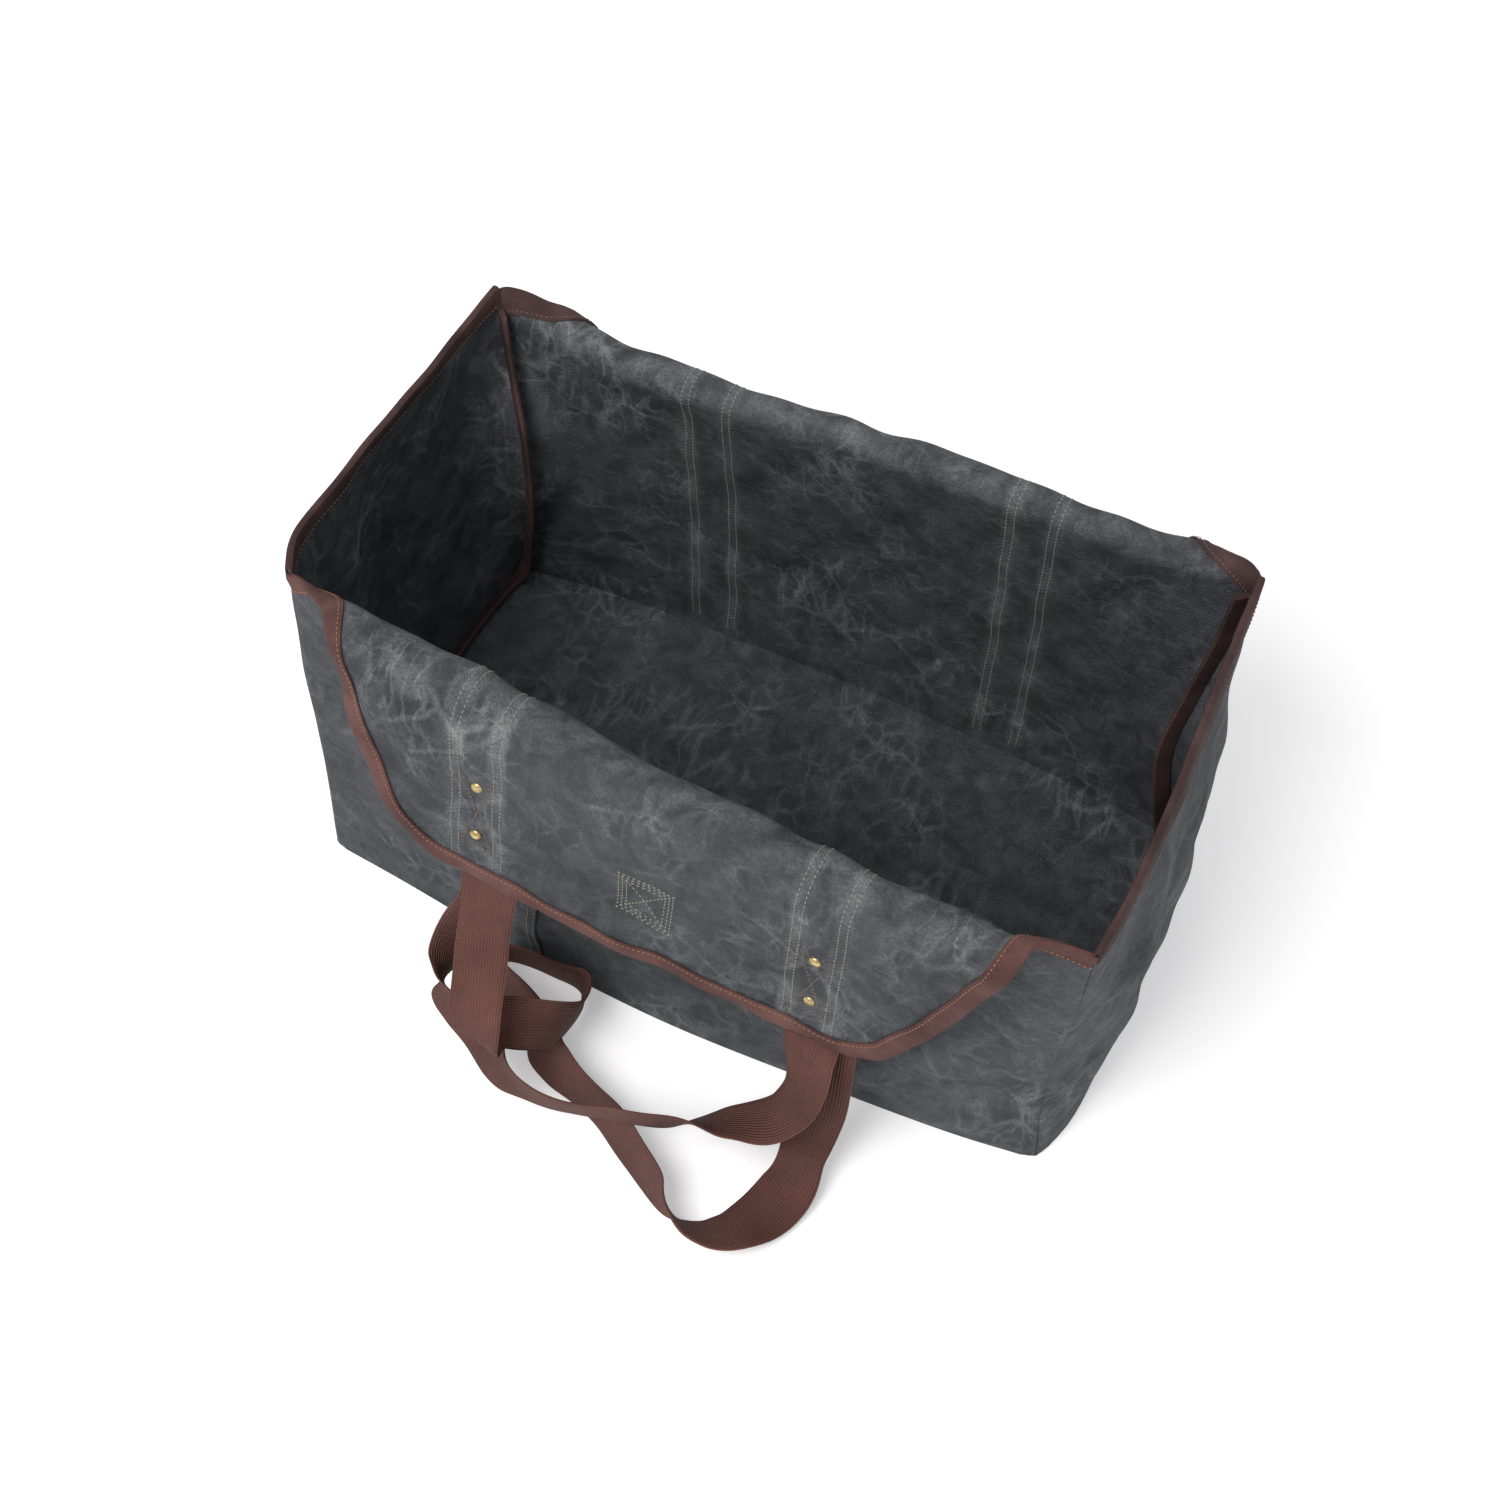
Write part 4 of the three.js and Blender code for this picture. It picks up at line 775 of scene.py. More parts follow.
def even_path(points, step):
    """The same path with even steps."""
    points = np.asarray(points, float)
    run = np.concatenate([[0], np.cumsum(np.linalg.norm(np.diff(points, axis=0), axis=1))])
    places = np.linspace(0, run[-1], max(2, int(run[-1] / step) + 1))
    return np.stack([np.interp(places, run, points[:, k]) for k in range(points.shape[1])], axis=-1)


def flap_edge(side):
    """Free edge of a flap from the left corner round the tip to the right one, in cloth coordinates."""
    tip = RIM_HEIGHT + LONG_SIDES[side]["flap"]
    rows = np.concatenate([
        RIM_HEIGHT + np.linspace(1.5, 30, 60),
        np.linspace(RIM_HEIGHT + 32, tip - TIP_CORNER_RADIUS, 60),
        tip - TIP_CORNER_RADIUS * (1 - np.sin(np.linspace(0, np.pi / 2, 14)[1:])),
    ])
    left = np.stack([-cloth_reach(side, rows, -1), rows], axis=-1)
    right_side = np.stack([cloth_reach(side, rows, 1), rows], axis=-1)
    bottom_x = np.linspace(left[-1, 0], right_side[-1, 0], 60)[1:-1]
    bottom = np.stack([bottom_x, np.full_like(bottom_x, tip)], axis=-1)
    start = [(-HALF_LENGTH - 0.5, RIM_HEIGHT + 1)]
    end = [(HALF_LENGTH + 0.5, RIM_HEIGHT + 1)]
    path = even_path(np.concatenate([start, left, bottom, right_side[::-1], end]), TAPE_STEP)
    smooth = path.copy()
    for _ in range(3):
        smooth[1:-1] = (smooth[:-2] + smooth[1:-1] * 2 + smooth[2:]) / 4
    return smooth


def flap_binding(side):
    """The tape of a flap, with its path in cloth coordinates and the way inward from it."""
    path = flap_edge(side)
    tangent = np.gradient(path, axis=0)
    tangent /= np.linalg.norm(tangent, axis=1, keepdims=True)
    for _ in range(4):
        tangent[1:-1] = (tangent[:-2] + tangent[1:-1] + tangent[2:]) / 3
    inward = np.stack([tangent[:, 1], -tangent[:, 0]], axis=-1)
    if inward[len(path) // 2, 1] > 0:
        inward = -inward

    def edge_point(reach, distance):
        place = path + inward * reach
        return long_point(side, place[:, 0], place[:, 1], distance)

    # the back flap's tape takes the darker copy, painted shade
    material = brown_tape if side == "front" else shaded_tape
    return folded_tape(f"{side}_flap_tape", len(path), edge_point, material), path, inward


def end_binding(side):
    """The tape over the rim of an end, from corner to corner."""
    width = 2 * (HALF_WIDTH - SEAM_SETBACK)
    across = np.linspace(*END_TAPE_REACH, int(width / TAPE_STEP))
    height = RIM_HEIGHT - WALL_FOOT

    def edge_point(inward, distance):
        return end_point(side, across, np.full_like(across, 1 - inward / height), distance)

    # the rim tape takes the darker copy, painted shade
    return folded_tape(f"end_tape_{side}", len(across), edge_point, shaded_tape)


flap_paths = {}
for side in ("front", "back"):
    piece, path, inward = flap_binding(side)
    flap_paths[side] = (path, inward)
    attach(piece, "root")
    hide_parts(f"{side}_flap_binding")
for side in ("left", "right"):
    piece = end_binding(side)
    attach(piece, "root")
    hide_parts(f"end_binding_{side}")

# Seam tapes: the seam allowances of each end panel, bound with the same brown tape, painted darker as painted
# shade. They stand into the bag down both upright corners and along the foot of the end.
SEAM_WIDTH = 12
SEAM_THICKNESS = 4
SEAM_STAND = 0.9
SEAM_BELOW_TAPE = {-1: 30, 1: 1.5}
SEAM_TOP = {corner: 1 - (TAPE_WIDTH + below) / RIM_HEIGHT for corner, below in SEAM_BELOW_TAPE.items()}
SEAM_ROUND = 0.06
SEAM_FOOT_REACH = 0.88


def seam_binding(side):
    """Down the front corner, along the foot and up the back corner, as one body."""
    facing = ENDS[side]["facing"]
    foot = np.linspace(-SEAM_FOOT_REACH, SEAM_FOOT_REACH, 60)
    route = [(-1.0, c, 0) for c in np.linspace(SEAM_TOP[-1], SEAM_ROUND, 60)]
    route += [(a, 0.0, 1) for a in foot]
    route += [(1.0, c, 0) for c in np.linspace(SEAM_ROUND, SEAM_TOP[1], 60)]
    stand = CANVAS / 2 + SEAM_STAND
    centres, inwards, flats = [], [], []
    for across, climb, lift in route:
        corner = end_point(side, across, climb, 0.0).reshape(3)
        toward_middle = 0 if lift else -np.sign(across)
        if lift:
            corner[2] = CANVAS / 2
        else:
            corner[1] += np.sign(across) * 0.1
        centres.append(corner)
        inwards.append((-facing, toward_middle, lift))
        flats.append((-facing, -toward_middle, -lift))
    centres, inwards, flats = (np.array(rows, float) for rows in (centres, inwards, flats))
    for rows in (centres, inwards, flats):
        for _ in range(6):
            rows[1:-1] = (rows[:-2] + rows[1:-1] * 2 + rows[2:]) / 4
    inwards /= np.linalg.norm(inwards, axis=1, keepdims=True)
    flats /= np.linalg.norm(flats, axis=1, keepdims=True)
    third = SEAM_WIDTH / 3
    half_section = [(0, 0.5), (third, 0.5), (2 * third, 0.5), (SEAM_WIDTH - 1, 0.4)]
    section = [(q, -n) for q, n in half_section] + [(SEAM_WIDTH, 0)] + half_section[::-1] + [(-0.2, 0)]
    rings = [
        np.array([c + i * (stand + q) + f * (n * SEAM_THICKNESS) for q, n in section])
        for c, i, f in zip(centres, inwards, flats)
    ]
    uvs = [np.array([(q * MM, k * 0.005) for q, _ in section]) for k in range(len(rings))]
    # the seam tape takes the darker copy, painted shade
    return tube(f"seam_tape_{side}", rings, uvs, shaded_tape)


for side in ("left", "right"):
    piece = seam_binding(side)
    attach(piece, "root")
    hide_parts(f"seam_binding_{side}")

# Strap bands: strips of the same canvas, two on each long cloth, sewn along its outward side with twin rows
# of stitches. Each runs from the foot over the fold to the flap's tape and carries the ends of the handles.
BAND = 1.5
GAP = 0.3
BAND_LEVEL = CANVAS / 2 + GAP + BAND / 2
STRAP_CENTRES = {"left": -STRAP_SPACING / 2 + STRAP_SHIFT, "right": STRAP_SPACING / 2 + STRAP_SHIFT}

for side in ("front", "back"):
    end = RIM_HEIGHT + LONG_SIDES[side]["flap"] - TAPE_WIDTH - 1
    rows = cloth_rows(side)
    rows = np.append(rows[rows < end - 2], end)
    for hand, centre in STRAP_CENTRES.items():
        x = centre + np.linspace(-0.5, 0.5, 9)[None, :] * BAND_WIDTH
        t = rows[:, None]
        uv = np.stack(np.broadcast_arrays(x * MM, t * MM), axis=-1)
        piece = shell(
            f"band_{side}_{hand}",
            long_point(side, x, t, BAND_LEVEL - BAND / 2),
            long_point(side, x, t, BAND_LEVEL + BAND / 2),
            uv,
            waxed_canvas,
        )
        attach(piece, "root")
        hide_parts(f"strap_band_{side}_{hand}")

# Handles: flat ribbed brown webbing, a long and a short one on each side, sewn and riveted under the flap at
# both ends and hanging free between. In front the long one curls round behind itself on the floor and the
# short one twists over it.
WEBBING_WIDTH = 38
WEBBING = 1.6
SEWN_LENGTH = 92
SEWN_GAP = 1.3
REACH = {"front": 102, "back": 70}
TAPE_CLEARANCE = 0.6
INNER_LEVEL = CANVAS / 2 + TAPE_CLEARANCE + TAPE + SEWN_GAP + WEBBING / 2
OUTER_LEVEL = INNER_LEVEL + WEBBING + SEWN_GAP
WEBBING_BROWN = (0.168, 0.071, 0.056, 1)
WEBBING_DARK = (0.046, 0.018, 0.015, 1)
RIB_PITCH = 0.0021

# Rows of each route: across, out and up as shares of half the strap spacing, the reach and the tip's
# height, then the direction across the webbing
ROUTES = {
    "front_long": (
        (-0.88, 0.2, 0.87, 1.0, 0.0, 0.1),
        (-0.84, 0.32, 0.82, 0.98, 0.1, 0.15),
        (-0.79, 0.48, 0.76, 0.97, 0.1, 0.2),
        (-0.75, 0.62, 0.69, 0.98, 0.1, 0.2),
        (-0.72, 0.7, 0.59, 0.99, -0.13, 0.03),
        (-0.71, 0.62, 0.55, 0.78, -0.41, -0.47),
        (-0.66, 0.48, 0.52, 0.25, -0.6, -0.75),
        (-0.56, 0.41, 0.49, 0.05, -0.72, -0.7),
        (-0.43, 0.29, 0.42, -0.1, -0.74, -0.66),
        (-0.4, 0.12, 0.285, -0.24, -0.68, -0.7),
        (-0.44, -0.14, 0.175, -0.12, -0.37, -0.92),
        (-0.54, -0.26, 0.14, 0.0, 0.1, -1.0),
        (-0.72, -0.27, 0.13, 0.0, 0.15, -0.98),
        (-0.87, -0.27, 0.13, 0.0, 0.15, -0.98),
        (-1.01, -0.24, 0.125, -0.1, 0.15, -0.98),
        (-1.06, -0.16, 0.12, -0.15, 0.05, -0.98),
        (-0.98, -0.07, 0.115, -0.15, -0.1, -0.98),
        (-0.78, 0.02, 0.11, -0.15, -0.2, -0.97),
        (-0.61, 0.15, 0.11, -0.37, -0.3, -0.87),
        (-0.51, 0.27, 0.11, -0.65, -0.2, -0.72),
        (-0.4, 0.34, 0.1, -0.64, -0.19, -0.74),
        (-0.27, 0.4, 0.1, -0.6, -0.07, -0.8),
        (-0.12, 0.46, 0.1, -0.6, 0.0, -0.8),
        (0.06, 0.54, 0.1, -0.56, -0.05, -0.82),
        (0.25, 0.67, 0.1, -0.5, -0.04, -0.87),
        (0.47, 0.82, 0.1, -0.45, 0.03, -0.89),
        (0.6, 0.93, 0.115, 0.07, 0.19, -0.98),
        (0.71, 0.97, 0.105, 0.05, 0.5, -0.87),
        (0.8, 0.96, 0.09, -0.2, 0.64, -0.74),
        (0.89, 0.91, 0.078, -0.46, 0.68, -0.57),
        (0.98, 0.81, 0.06, -0.66, 0.62, -0.42),
        (1.06, 0.65, 0.04, -0.86, 0.51, -0.05),
        (1.13, 0.47, 0.09, -0.93, 0.15, 0.3),
        (1.15, 0.31, 0.21, -0.73, -0.5, 0.45),
        (1.15, 0.16, 0.3, -0.85, -0.45, 0.22),
        (1.15, 0.06, 0.45, -0.97, -0.2, 0.1),
        (1.15, 0.01, 0.68, -1.0, 0.0, 0.0),
    ),
    "front_short": (
        (-0.94, 0.02, 0.9, 0.98, 0.12, -0.2),
        (-1.03, 0.04, 0.77, 0.85, 0.4, -0.35),
        (-1.11, 0.08, 0.63, 0.68, 0.62, -0.38),
        (-1.15, 0.17, 0.51, 0.44, 0.64, -0.63),
        (-1.14, 0.29, 0.45, -0.06, 0.5, -0.86),
        (-1.1, 0.37, 0.41, -0.5, 0.2, -0.83),
        (-1.05, 0.39, 0.37, -0.62, -0.15, -0.77),
        (-0.97, 0.39, 0.335, -0.47, -0.47, -0.75),
        (-0.83, 0.46, 0.305, -0.42, -0.42, -0.8),
        (-0.66, 0.61, 0.3, -0.5, -0.1, -0.85),
        (-0.52, 0.69, 0.315, -0.38, 0.08, -0.92),
        (-0.35, 0.725, 0.33, -0.23, 0.16, -0.96),
        (-0.19, 0.725, 0.35, -0.2, 0.2, -0.96),
        (-0.05, 0.69, 0.355, -0.19, 0.19, -0.96),
        (0.1, 0.64, 0.365, -0.22, 0.15, -0.96),
        (0.25, 0.59, 0.36, -0.29, 0.12, -0.95),
        (0.43, 0.5, 0.34, -0.29, 0.12, -0.95),
        (0.58, 0.41, 0.325, -0.41, 0.43, -0.8),
        (0.7, 0.34, 0.335, -0.5, 0.65, -0.58),
        (0.82, 0.28, 0.36, -0.5, 0.74, -0.45),
        (0.95, 0.24, 0.43, -0.58, 0.76, -0.28),
        (1.03, 0.18, 0.53, -0.7, 0.68, -0.2),
        (1.07, 0.14, 0.65, -0.83, 0.52, -0.17),
        (1.07, 0.08, 0.77, -0.93, 0.33, -0.12),
        (1.05, 0.03, 0.88, -0.98, 0.14, -0.08),
    ),
    "back_short": (
        (-1.0, -0.01, 0.84, 1.0, 0.0, 0.0),
        (-0.99, 0.0, 0.62, 0.97, -0.2, 0.0),
        (-0.94, 0.05, 0.38, 0.8, -0.55, 0.2),
        (-0.8, 0.14, 0.2, 0.5, -0.8, 0.35),
        (-0.55, 0.22, 0.1, 0.2, -0.97, 0.15),
        (-0.25, 0.27, 0.06, 0.05, -1.0, 0.0),
        (0.0, 0.28, 0.05, 0.0, -1.0, 0.0),
    ),
    "back_long": (
        (-1.02, 0.09, 0.84, 1.0, 0.0, 0.0),
        (-1.05, 0.25, 0.64, 0.95, 0.1, -0.1),
        (-1.1, 0.5, 0.45, 0.8, 0.2, -0.5),
        (-1.16, 0.85, 0.29, 0.5, 0.25, -0.8),
        (-1.14, 1.25, 0.18, 0.2, 0.3, -0.93),
        (-0.98, 1.65, 0.14, 0.0, 0.3, -0.95),
        (-0.68, 1.92, 0.13, -0.05, 0.35, -0.93),
        (-0.33, 2.02, 0.13, 0.0, 0.38, -0.92),
        (0.0, 2.05, 0.13, 0.0, 0.38, -0.92),
    ),
}
HANDLES = {
    "front_long": {"left": (INNER_LEVEL, -0.92), "right": (OUTER_LEVEL, 1.12)},
    "front_short": {"left": (OUTER_LEVEL, -0.96), "right": (INNER_LEVEL, 1.04)},
    "back_long": {"left": (INNER_LEVEL, -1.0), "right": (INNER_LEVEL, 1.0)},
    "back_short": {"left": (OUTER_LEVEL, -1.0), "right": (OUTER_LEVEL, 1.0)},
}

brown_webbing, tree, shader, place = new_material("brown_webbing")
split = add_node(tree, "ShaderNodeSeparateXYZ", {}, {"Vector": place.outputs["UV"]})
ribs = (Value(tree, split.outputs["X"]) * (2 * math.pi / RIB_PITCH)).wave() * 0.5 + 0.5
picks = (Value(tree, split.outputs["Y"]) * (2 * math.pi / (RIB_PITCH * 0.9))).wave() * 0.5 + 0.5
fuzz = noise(tree, place.outputs["Object"], 500.0, 2.0, 0.6)
cloud = noise(tree, place.outputs["Object"], 18.0, 3.0).ramp(0.3, 0.75)
shade = (ribs * 0.26 + picks * 0.12 + fuzz * 0.34 + cloud * 0.34 - 0.04).held()
tree.links.new(shade.blend(WEBBING_DARK, WEBBING_BROWN), shader.inputs["Base Color"])
shader.inputs["Roughness"].default_value = 0.8
shader.inputs["Specular IOR Level"].default_value = 0.25
bump(tree, shader, ribs + picks * 0.4 + fuzz * 0.4, 0.0006)


def sewn_stations(side, level, emerge, sign):
    """The sewn end of a handle under the flap: its centre line and the direction across the webbing."""
    tip = RIM_HEIGHT + LONG_SIDES[side]["flap"]
    s = np.linspace(0, 1, 31)
    centre = STRAP_SHIFT + math.copysign(STRAP_SPACING / 2, emerge)
    root = STRAP_SHIFT + emerge * STRAP_SPACING / 2
    x = centre + (root - centre) * s * s
    t = tip - SEWN_LENGTH + (SEWN_LENGTH + TAPE_CLEARANCE + TAPE + WEBBING) * s
    across = np.tile(np.array([sign, 0.0, 0.0]), (len(s), 1))
    return long_point(side, x, t, level), across


def smooth_through(points, count):
    """A smooth path through points, with count stations from each one to the next."""
    padded = np.vstack([2 * points[0] - points[1], points, 2 * points[-1] - points[-2]])
    out = []
    for i in range(1, len(padded) - 2):
        a, b, c, d = padded[i - 1:i + 3]
        for s in np.linspace(0, 1, count, endpoint=False):
            out.append(0.5 * (
                2 * b + (c - a) * s + (2 * a - 5 * b + 4 * c - d) * s ** 2 + (3 * b - a - 3 * c + d) * s ** 3
            ))
    out.append(padded[-2])
    return np.array(out)


def handle(name):
    """A handle from its left sewn end along its free route to its right one; the back ones are symmetric."""
    side = name.split("_")[0]
    facing = LONG_SIDES[side]["facing"]
    rows = np.array(ROUTES[name], float)
    if side == "back":
        other = rows[-2::-1].copy()
        other[:, [0, 3]] *= -1
        rows = np.vstack([rows, other])
    tip_t = RIM_HEIGHT + LONG_SIDES[side]["flap"]
    tip = long_cloth(side, np.array(0.0), np.array(float(tip_t)))
    free = np.stack([
        STRAP_SHIFT + rows[:, 0] * STRAP_SPACING / 2,
        tip[1] + facing * rows[:, 1] * REACH[side],
        rows[:, 2] * tip[2],
    ], axis=-1)
    left_points, left_across = sewn_stations(side, *HANDLES[name]["left"], 1.0)
    right_points, right_across = sewn_stations(side, *HANDLES[name]["right"], -1.0)
    if side == "back":
        right_across = -left_across
    key_points = np.vstack([left_points[::5], free, right_points[::-1][::5]])
    key_across = np.vstack([left_across[::5], rows[:, 3:], right_across[::5]])
    key_across /= np.linalg.norm(key_across, axis=1, keepdims=True)
    centre = smooth_through(key_points, 8)
    across = smooth_through(key_across, 8)
    for _ in range(6):
        centre[1:-1] = (centre[:-2] + centre[1:-1] * 2 + centre[2:]) / 4
        across[1:-1] = (across[:-2] + across[1:-1] * 2 + across[2:]) / 4
    along = np.gradient(centre, axis=0)
    along /= np.linalg.norm(along, axis=1, keepdims=True)
    across -= along * np.einsum("ij,ij->i", across, along)[:, None]
    across /= np.linalg.norm(across, axis=1, keepdims=True)
    face = np.cross(along, across)
    half_w, half_t = WEBBING_WIDTH / 2, WEBBING / 2
    lowest = centre[:, 2] - np.abs(across[:, 2]) * half_w - np.abs(face[:, 2]) * half_t
    centre[:, 2] += np.maximum(0, GAP - lowest)
    section = [(a * half_w, -half_t) for a in np.linspace(-0.97, 0.97, 9)] + [(half_w, 0.0)]
    section += [(a * half_w, half_t) for a in np.linspace(0.97, -0.97, 9)] + [(-half_w, 0.0)]
    run = np.concatenate([[0], np.cumsum(np.linalg.norm(np.diff(centre, axis=0), axis=1))])
    rings = [
        np.array([c + w * a + f * n for a, n in section]) for c, w, f in zip(centre, across, face)
    ]
    uvs = [np.array([((a + half_w) * MM, r * MM) for a, _ in section]) for r in run]
    return tube(f"webbing_{name}", rings, uvs, brown_webbing, 60)


for name in ROUTES:
    piece = handle(name)
    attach(piece, "root")
    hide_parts(f"handle_{name}")

# Rivets: turned brass with domed heads, two at each handle root, set from the shown side through the flap,
# the band and the handles.
HEAD_RADIUS = 4.1
HEAD_HEIGHT = 1.9
SHANK_RADIUS = 2.0
RIVET_SIDES = 28
RIVET_ABOVE_EDGE = 42
RIVET_SPACING = 46
RIVET_STAND = GAP * 0.3
BRASS = (0.62, 0.5, 0.24, 1)
BRASS_DULL = (0.3, 0.22, 0.1, 1)

brass, tree, shader, place = new_material("brass")
tarnish = noise(tree, place.outputs["Object"], 300.0, 4.0).ramp(0.35, 0.7)
tree.links.new(tarnish.blend(BRASS, BRASS_DULL), shader.inputs["Base Color"])
tree.links.new((tarnish * 0.25 + 0.28).socket, shader.inputs["Roughness"])
shader.inputs["Metallic"].default_value = 1.0


def rivet(name, side, x, t):
    """A rivet turned about the cloth's normal at one place, its domed head on the shown side."""
    centre = long_point(side, x, t, 0.0)
    axis = Vector((long_point(side, x, t, 1.0) - centre).tolist()).normalized()
    turn = np.array(axis.to_track_quat("Z", "Y").to_matrix())
    head = -CANVAS / 2 - RIVET_STAND
    tail = OUTER_LEVEL + WEBBING / 2 + RIVET_STAND
    profile = [(0.0, head - HEAD_HEIGHT), (1.6, head - HEAD_HEIGHT * 0.97), (3.2, head - HEAD_HEIGHT * 0.75)]
    profile += [(3.8, head - HEAD_HEIGHT * 0.38), (HEAD_RADIUS, head - 0.25), (HEAD_RADIUS, head)]
    profile += [(SHANK_RADIUS, head), (SHANK_RADIUS, tail), (HEAD_RADIUS, tail), (HEAD_RADIUS, tail + 0.4)]
    profile += [(3.4, tail + 0.9), (0.0, tail + 1.0)]
    angles = np.linspace(0, 2 * np.pi, RIVET_SIDES, endpoint=False)
    points, faces = [], []
    for radius, height in profile[1:-1]:
        points += [(radius * math.cos(a), radius * math.sin(a), height) for a in angles]
    points += [(0, 0, profile[0][1]), (0, 0, profile[-1][1])]
    rings = len(profile) - 2
    for i in range(RIVET_SIDES):
        j = (i + 1) % RIVET_SIDES
        faces.append((rings * RIVET_SIDES, j, i))
        faces.append((rings * RIVET_SIDES + 1, (rings - 1) * RIVET_SIDES + i, (rings - 1) * RIVET_SIDES + j))
        for r in range(rings - 1):
            a, b = r * RIVET_SIDES + i, r * RIVET_SIDES + j
            faces.append((a, b, b + RIVET_SIDES, a + RIVET_SIDES))
    points = np.array(points) @ turn.T + centre
    return finish_mesh(name, points, faces, points[:, :2] * MM, brass, 40)


for side in ("front", "back"):
    number = 1
    for hand in ("left", "right"):
        for step in range(2):
            t = RIM_HEIGHT + LONG_SIDES[side]["flap"] - RIVET_ABOVE_EDGE - step * RIVET_SPACING
            piece = rivet(f"brass_rivet_{side}_{number}", side, STRAP_CENTRES[hand], t)
            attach(piece, "root")
            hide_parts(f"rivet_{side}_{number}")
            number += 1

# Stitches: twisted thread sewn through the finished cloth. It is pale along the bands and in the crossed
# square on the front flap, dim in the boxes at the handle roots, tan on the front tape, and dim as painted
# shade on the rim and back tapes, which are painted darker as shade.
PITCH = 0.0034
STITCH_LENGTH = 0.0026
THREAD_RADIUS = 0.00042
THIN_THREAD = 0.00035
BOX_THREAD = 0.00038
THREAD_LIFT = 0.2
BAND_ROW_START = 14.0
BAND_ROW_STEP = 3.0
SQUARE_ROWS = (1.0, 0.86, 0.7)
TAPE_ROW = 2.2
TAPE_ROW_LEVEL = CANVAS / 2 + TAPE_GAP + TAPE + 0.25
RIM_ROW_REACH = 0.96
THREAD_PALE = (0.25, 0.245, 0.185, 1)
THREAD_TAN = (0.3, 0.15, 0.07, 1)
# dim thread: its own colour in the handle boxes, painted shade on the rim and back tapes
THREAD_DIM_AND_SHADED = (0.15, 0.108, 0.086, 1)
TWIN = (1.5, 7.0)
BOX_BOTTOM = 31
BOX_TOP = 93
SQUARE = ((-13.5, 43.5), (23.5, 43), (25, 85), (-12.5, 83))


def stitch_group():
    """Stitches at an even pitch along curves, each a small rounded length of thread."""
    group = bpy.data.node_groups.new("stitches", "GeometryNodeTree")
    face = group.interface
    face.new_socket("Geometry", in_out="INPUT", socket_type="NodeSocketGeometry")
    for label in ("Pitch", "Length", "Radius"):
        face.new_socket(label, in_out="INPUT", socket_type="NodeSocketFloat")
    face.new_socket("Thread", in_out="INPUT", socket_type="NodeSocketMaterial")
    face.new_socket("Geometry", in_out="OUTPUT", socket_type="NodeSocketGeometry")
    given = add_node(group, "NodeGroupInput").outputs
    inputs = {"Curve": given["Geometry"], "Length": given["Pitch"]}
    even = add_node(group, "GeometryNodeResampleCurve", {"mode": "LENGTH"}, inputs)
    ball = add_node(group, "GeometryNodeMeshUVSphere", {}, {"Segments": 5, "Rings": 4, "Radius": 1.0})
    half_length = add_node(group, "ShaderNodeMath", {"operation": "MULTIPLY"}, {0: given["Length"], 1: 0.5})
    inputs = {"X": half_length.outputs[0], "Y": given["Radius"], "Z": given["Radius"]}
    size = add_node(group, "ShaderNodeCombineXYZ", {}, inputs)
    tangent = add_node(group, "GeometryNodeInputTangent")
    inputs = {"Vector": tangent.outputs["Tangent"]}
    turn = add_node(group, "FunctionNodeAlignRotationToVector", {"axis": "X"}, inputs)
    spread = add_node(group, "GeometryNodeInstanceOnPoints", {}, {
        "Points": even.outputs["Curve"],
        "Instance": ball.outputs["Mesh"],
        "Rotation": turn.outputs["Rotation"],
        "Scale": size.outputs["Vector"],
    })
    real = add_node(group, "GeometryNodeRealizeInstances", {}, {"Geometry": spread.outputs["Instances"]})
    inputs = {"Geometry": real.outputs["Geometry"], "Material": given["Thread"]}
    paint = add_node(group, "GeometryNodeSetMaterial", {}, inputs)
    add_node(group, "NodeGroupOutput", {}, {"Geometry": paint.outputs["Geometry"]})
    return group


stitches = stitch_group()


def sew(name, lines, thread, radius=THREAD_RADIUS):
    """Stitches along lines of points in millimetres, as one mesh."""
    curve = bpy.data.curves.new(name, "CURVE")
    curve.dimensions = "3D"
    for line in lines:
        spline = curve.splines.new("POLY")
        spline.points.add(len(line) - 1)
        rows = np.concatenate([np.asarray(line) * MM, np.ones((len(line), 1))], axis=1)
        spline.points.foreach_set("co", rows.ravel())
    seam = bpy.data.objects.new(name + "_seam", curve)
    bpy.context.scene.collection.objects.link(seam)
    modifier = seam.modifiers.new("stitches", "NODES")
    modifier.node_group = stitches
    values = {"Pitch": PITCH, "Length": STITCH_LENGTH, "Radius": radius, "Thread": thread}
    for item in stitches.interface.items_tree:
        if item.in_out == "INPUT" and item.name in values:
            modifier[item.identifier] = values[item.name]
    bpy.context.view_layer.update()
    evaluated = seam.evaluated_get(bpy.context.evaluated_depsgraph_get())
    mesh = bpy.data.meshes.new_from_object(evaluated)
    mesh.name = name
    bpy.data.objects.remove(seam)
    bpy.data.curves.remove(curve)
    mesh.shade_smooth()
    piece = bpy.data.objects.new(name, mesh)
    bpy.context.scene.collection.objects.link(piece)
    return piece


def thread_material(name, colour):
    material = bpy.data.materials.new(name)
    material.use_nodes = True
    thread_shader = material.node_tree.nodes["Principled BSDF"]
    thread_shader.inputs["Base Color"].default_value = colour
    thread_shader.inputs["Roughness"].default_value = 0.7
    return material


pale_thread = thread_material("pale_thread", THREAD_PALE)
tan_thread = thread_material("tan_thread", THREAD_TAN)
# dim thread: own colour in the boxes, painted shade on the shaded tapes
dim_and_shaded_thread = thread_material("dim_and_shaded_thread", THREAD_DIM_AND_SHADED)

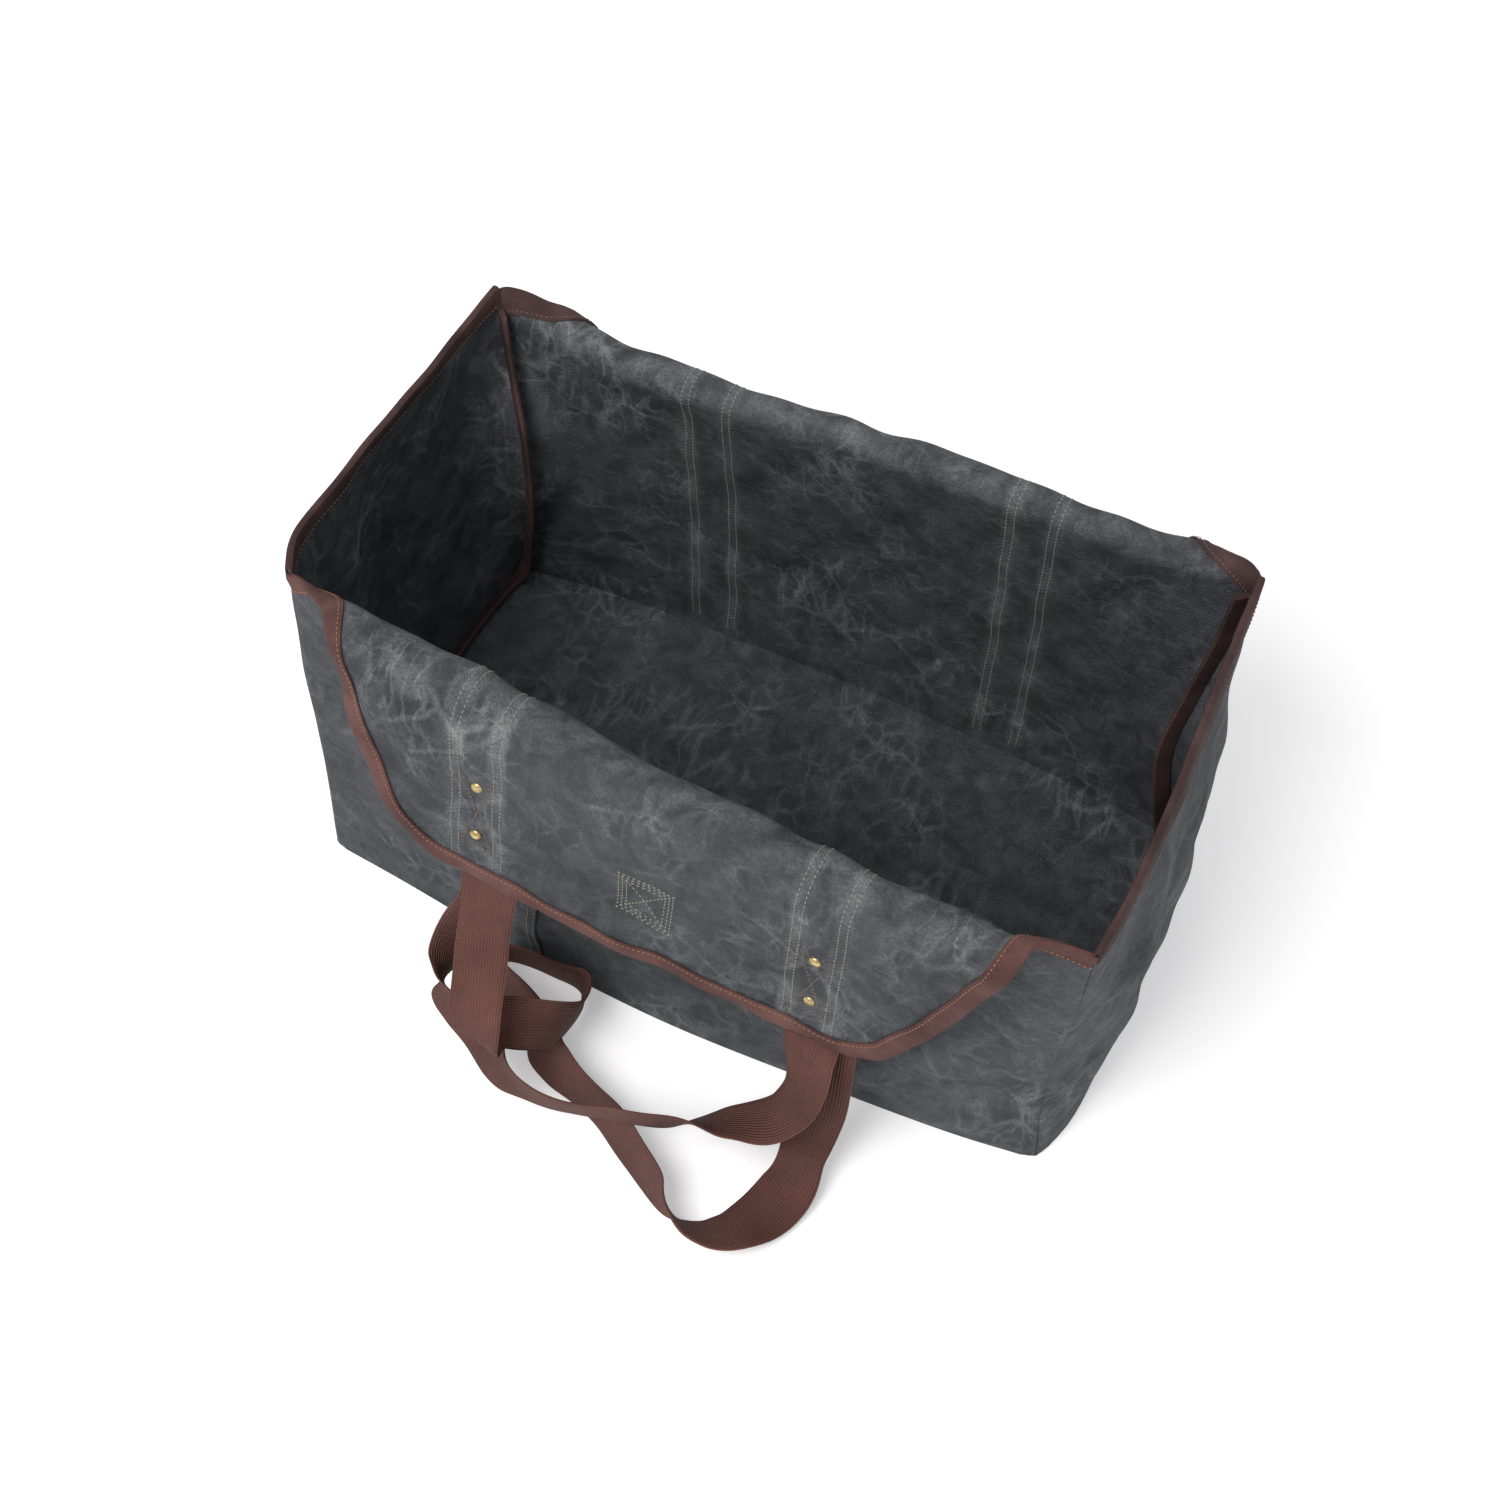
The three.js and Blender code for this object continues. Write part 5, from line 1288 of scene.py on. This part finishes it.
for side in ("front", "back"):
    tip = RIM_HEIGHT + LONG_SIDES[side]["flap"]
    shown = -CANVAS / 2 - THREAD_LIFT
    hidden = BAND_LEVEL + BAND / 2 + THREAD_LIFT
    lines = []
    box_lines = []
    for centre in STRAP_CENTRES.values():
        for sign in (-1, 1):
            for inset in TWIN:
                x = centre + sign * (BAND_WIDTH / 2 - inset)
                for level in (shown, hidden):
                    t = np.arange(BAND_ROW_START, tip - TAPE_WIDTH - BAND_ROW_STEP, BAND_ROW_STEP)
                    lines.append(long_point(side, np.full_like(t, x), t, level))
        half_box = BAND_WIDTH / 2 - TWIN[1]
        low, high = tip - BOX_BOTTOM, tip - BOX_TOP
        box = (
            ((-1, low), (1, low)), ((-1, low - 4), (1, low - 4)), ((-1, high), (1, high)),
            ((-1, low), (1, high)), ((1, low), (-1, high)),
            ((-0.8, low), (1, high - 8)), ((0.8, low), (-1, high - 8)),
        )
        for (s0, t0), (s1, t1) in box:
            s = np.linspace(0, 1, 20)
            x = centre + half_box * (s0 + (s1 - s0) * s)
            box_lines.append(long_point(side, x, t0 + (t1 - t0) * s, shown))
    if side == "front":
        middle = np.mean(SQUARE, axis=0)
        for start, end in ((0, 2), (1, 3)):
            s = np.linspace(0, 1, 14)[:, None]
            inner = [middle + (np.array(SQUARE[k]) - middle) * SQUARE_ROWS[-1] for k in (start, end)]
            run = inner[0] + (inner[1] - inner[0]) * s
            lines.append(long_point(side, run[:, 0], tip - run[:, 1], shown))
        for shrink in SQUARE_ROWS:
            corners = [middle + (np.array(c) - middle) * shrink for c in SQUARE]
            for k, corner in enumerate(corners):
                s = np.linspace(0, 1, 14)[:, None]
                run = corner + (corners[(k + 1) % 4] - corner) * s
                lines.append(long_point(side, run[:, 0], tip - run[:, 1], shown))
    piece = sew(f"stitches_{side}", lines, pale_thread)
    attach(piece, "root")
    piece = sew(f"box_stitches_{side}", box_lines, dim_and_shaded_thread, BOX_THREAD)
    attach(piece, "root")

    path, inward = flap_paths[side]
    lines = []
    for sign in (-1, 1):
        row = path + inward * (TAPE_WIDTH - TAPE_ROW)
        lines.append(long_point(side, row[:, 0], row[:, 1], sign * TAPE_ROW_LEVEL))
    # the back tape's stitches take the dim thread, painted shade
    thread = tan_thread if side == "front" else dim_and_shaded_thread
    piece = sew(f"tape_stitches_{side}", lines, thread, THIN_THREAD)
    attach(piece, "root")

for side in ("left", "right"):
    across = np.linspace(-RIM_ROW_REACH, RIM_ROW_REACH, 90)
    climb = np.full_like(across, 1 - (TAPE_WIDTH - TAPE_ROW) / (RIM_HEIGHT - WALL_FOOT))
    lines = [end_point(side, across, climb, sign * TAPE_ROW_LEVEL) for sign in (-1, 1)]
    # the rim stitches take the dim thread, painted shade
    piece = sew(f"rim_stitches_{side}", lines, dim_and_shaded_thread, THIN_THREAD)
    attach(piece, "root")
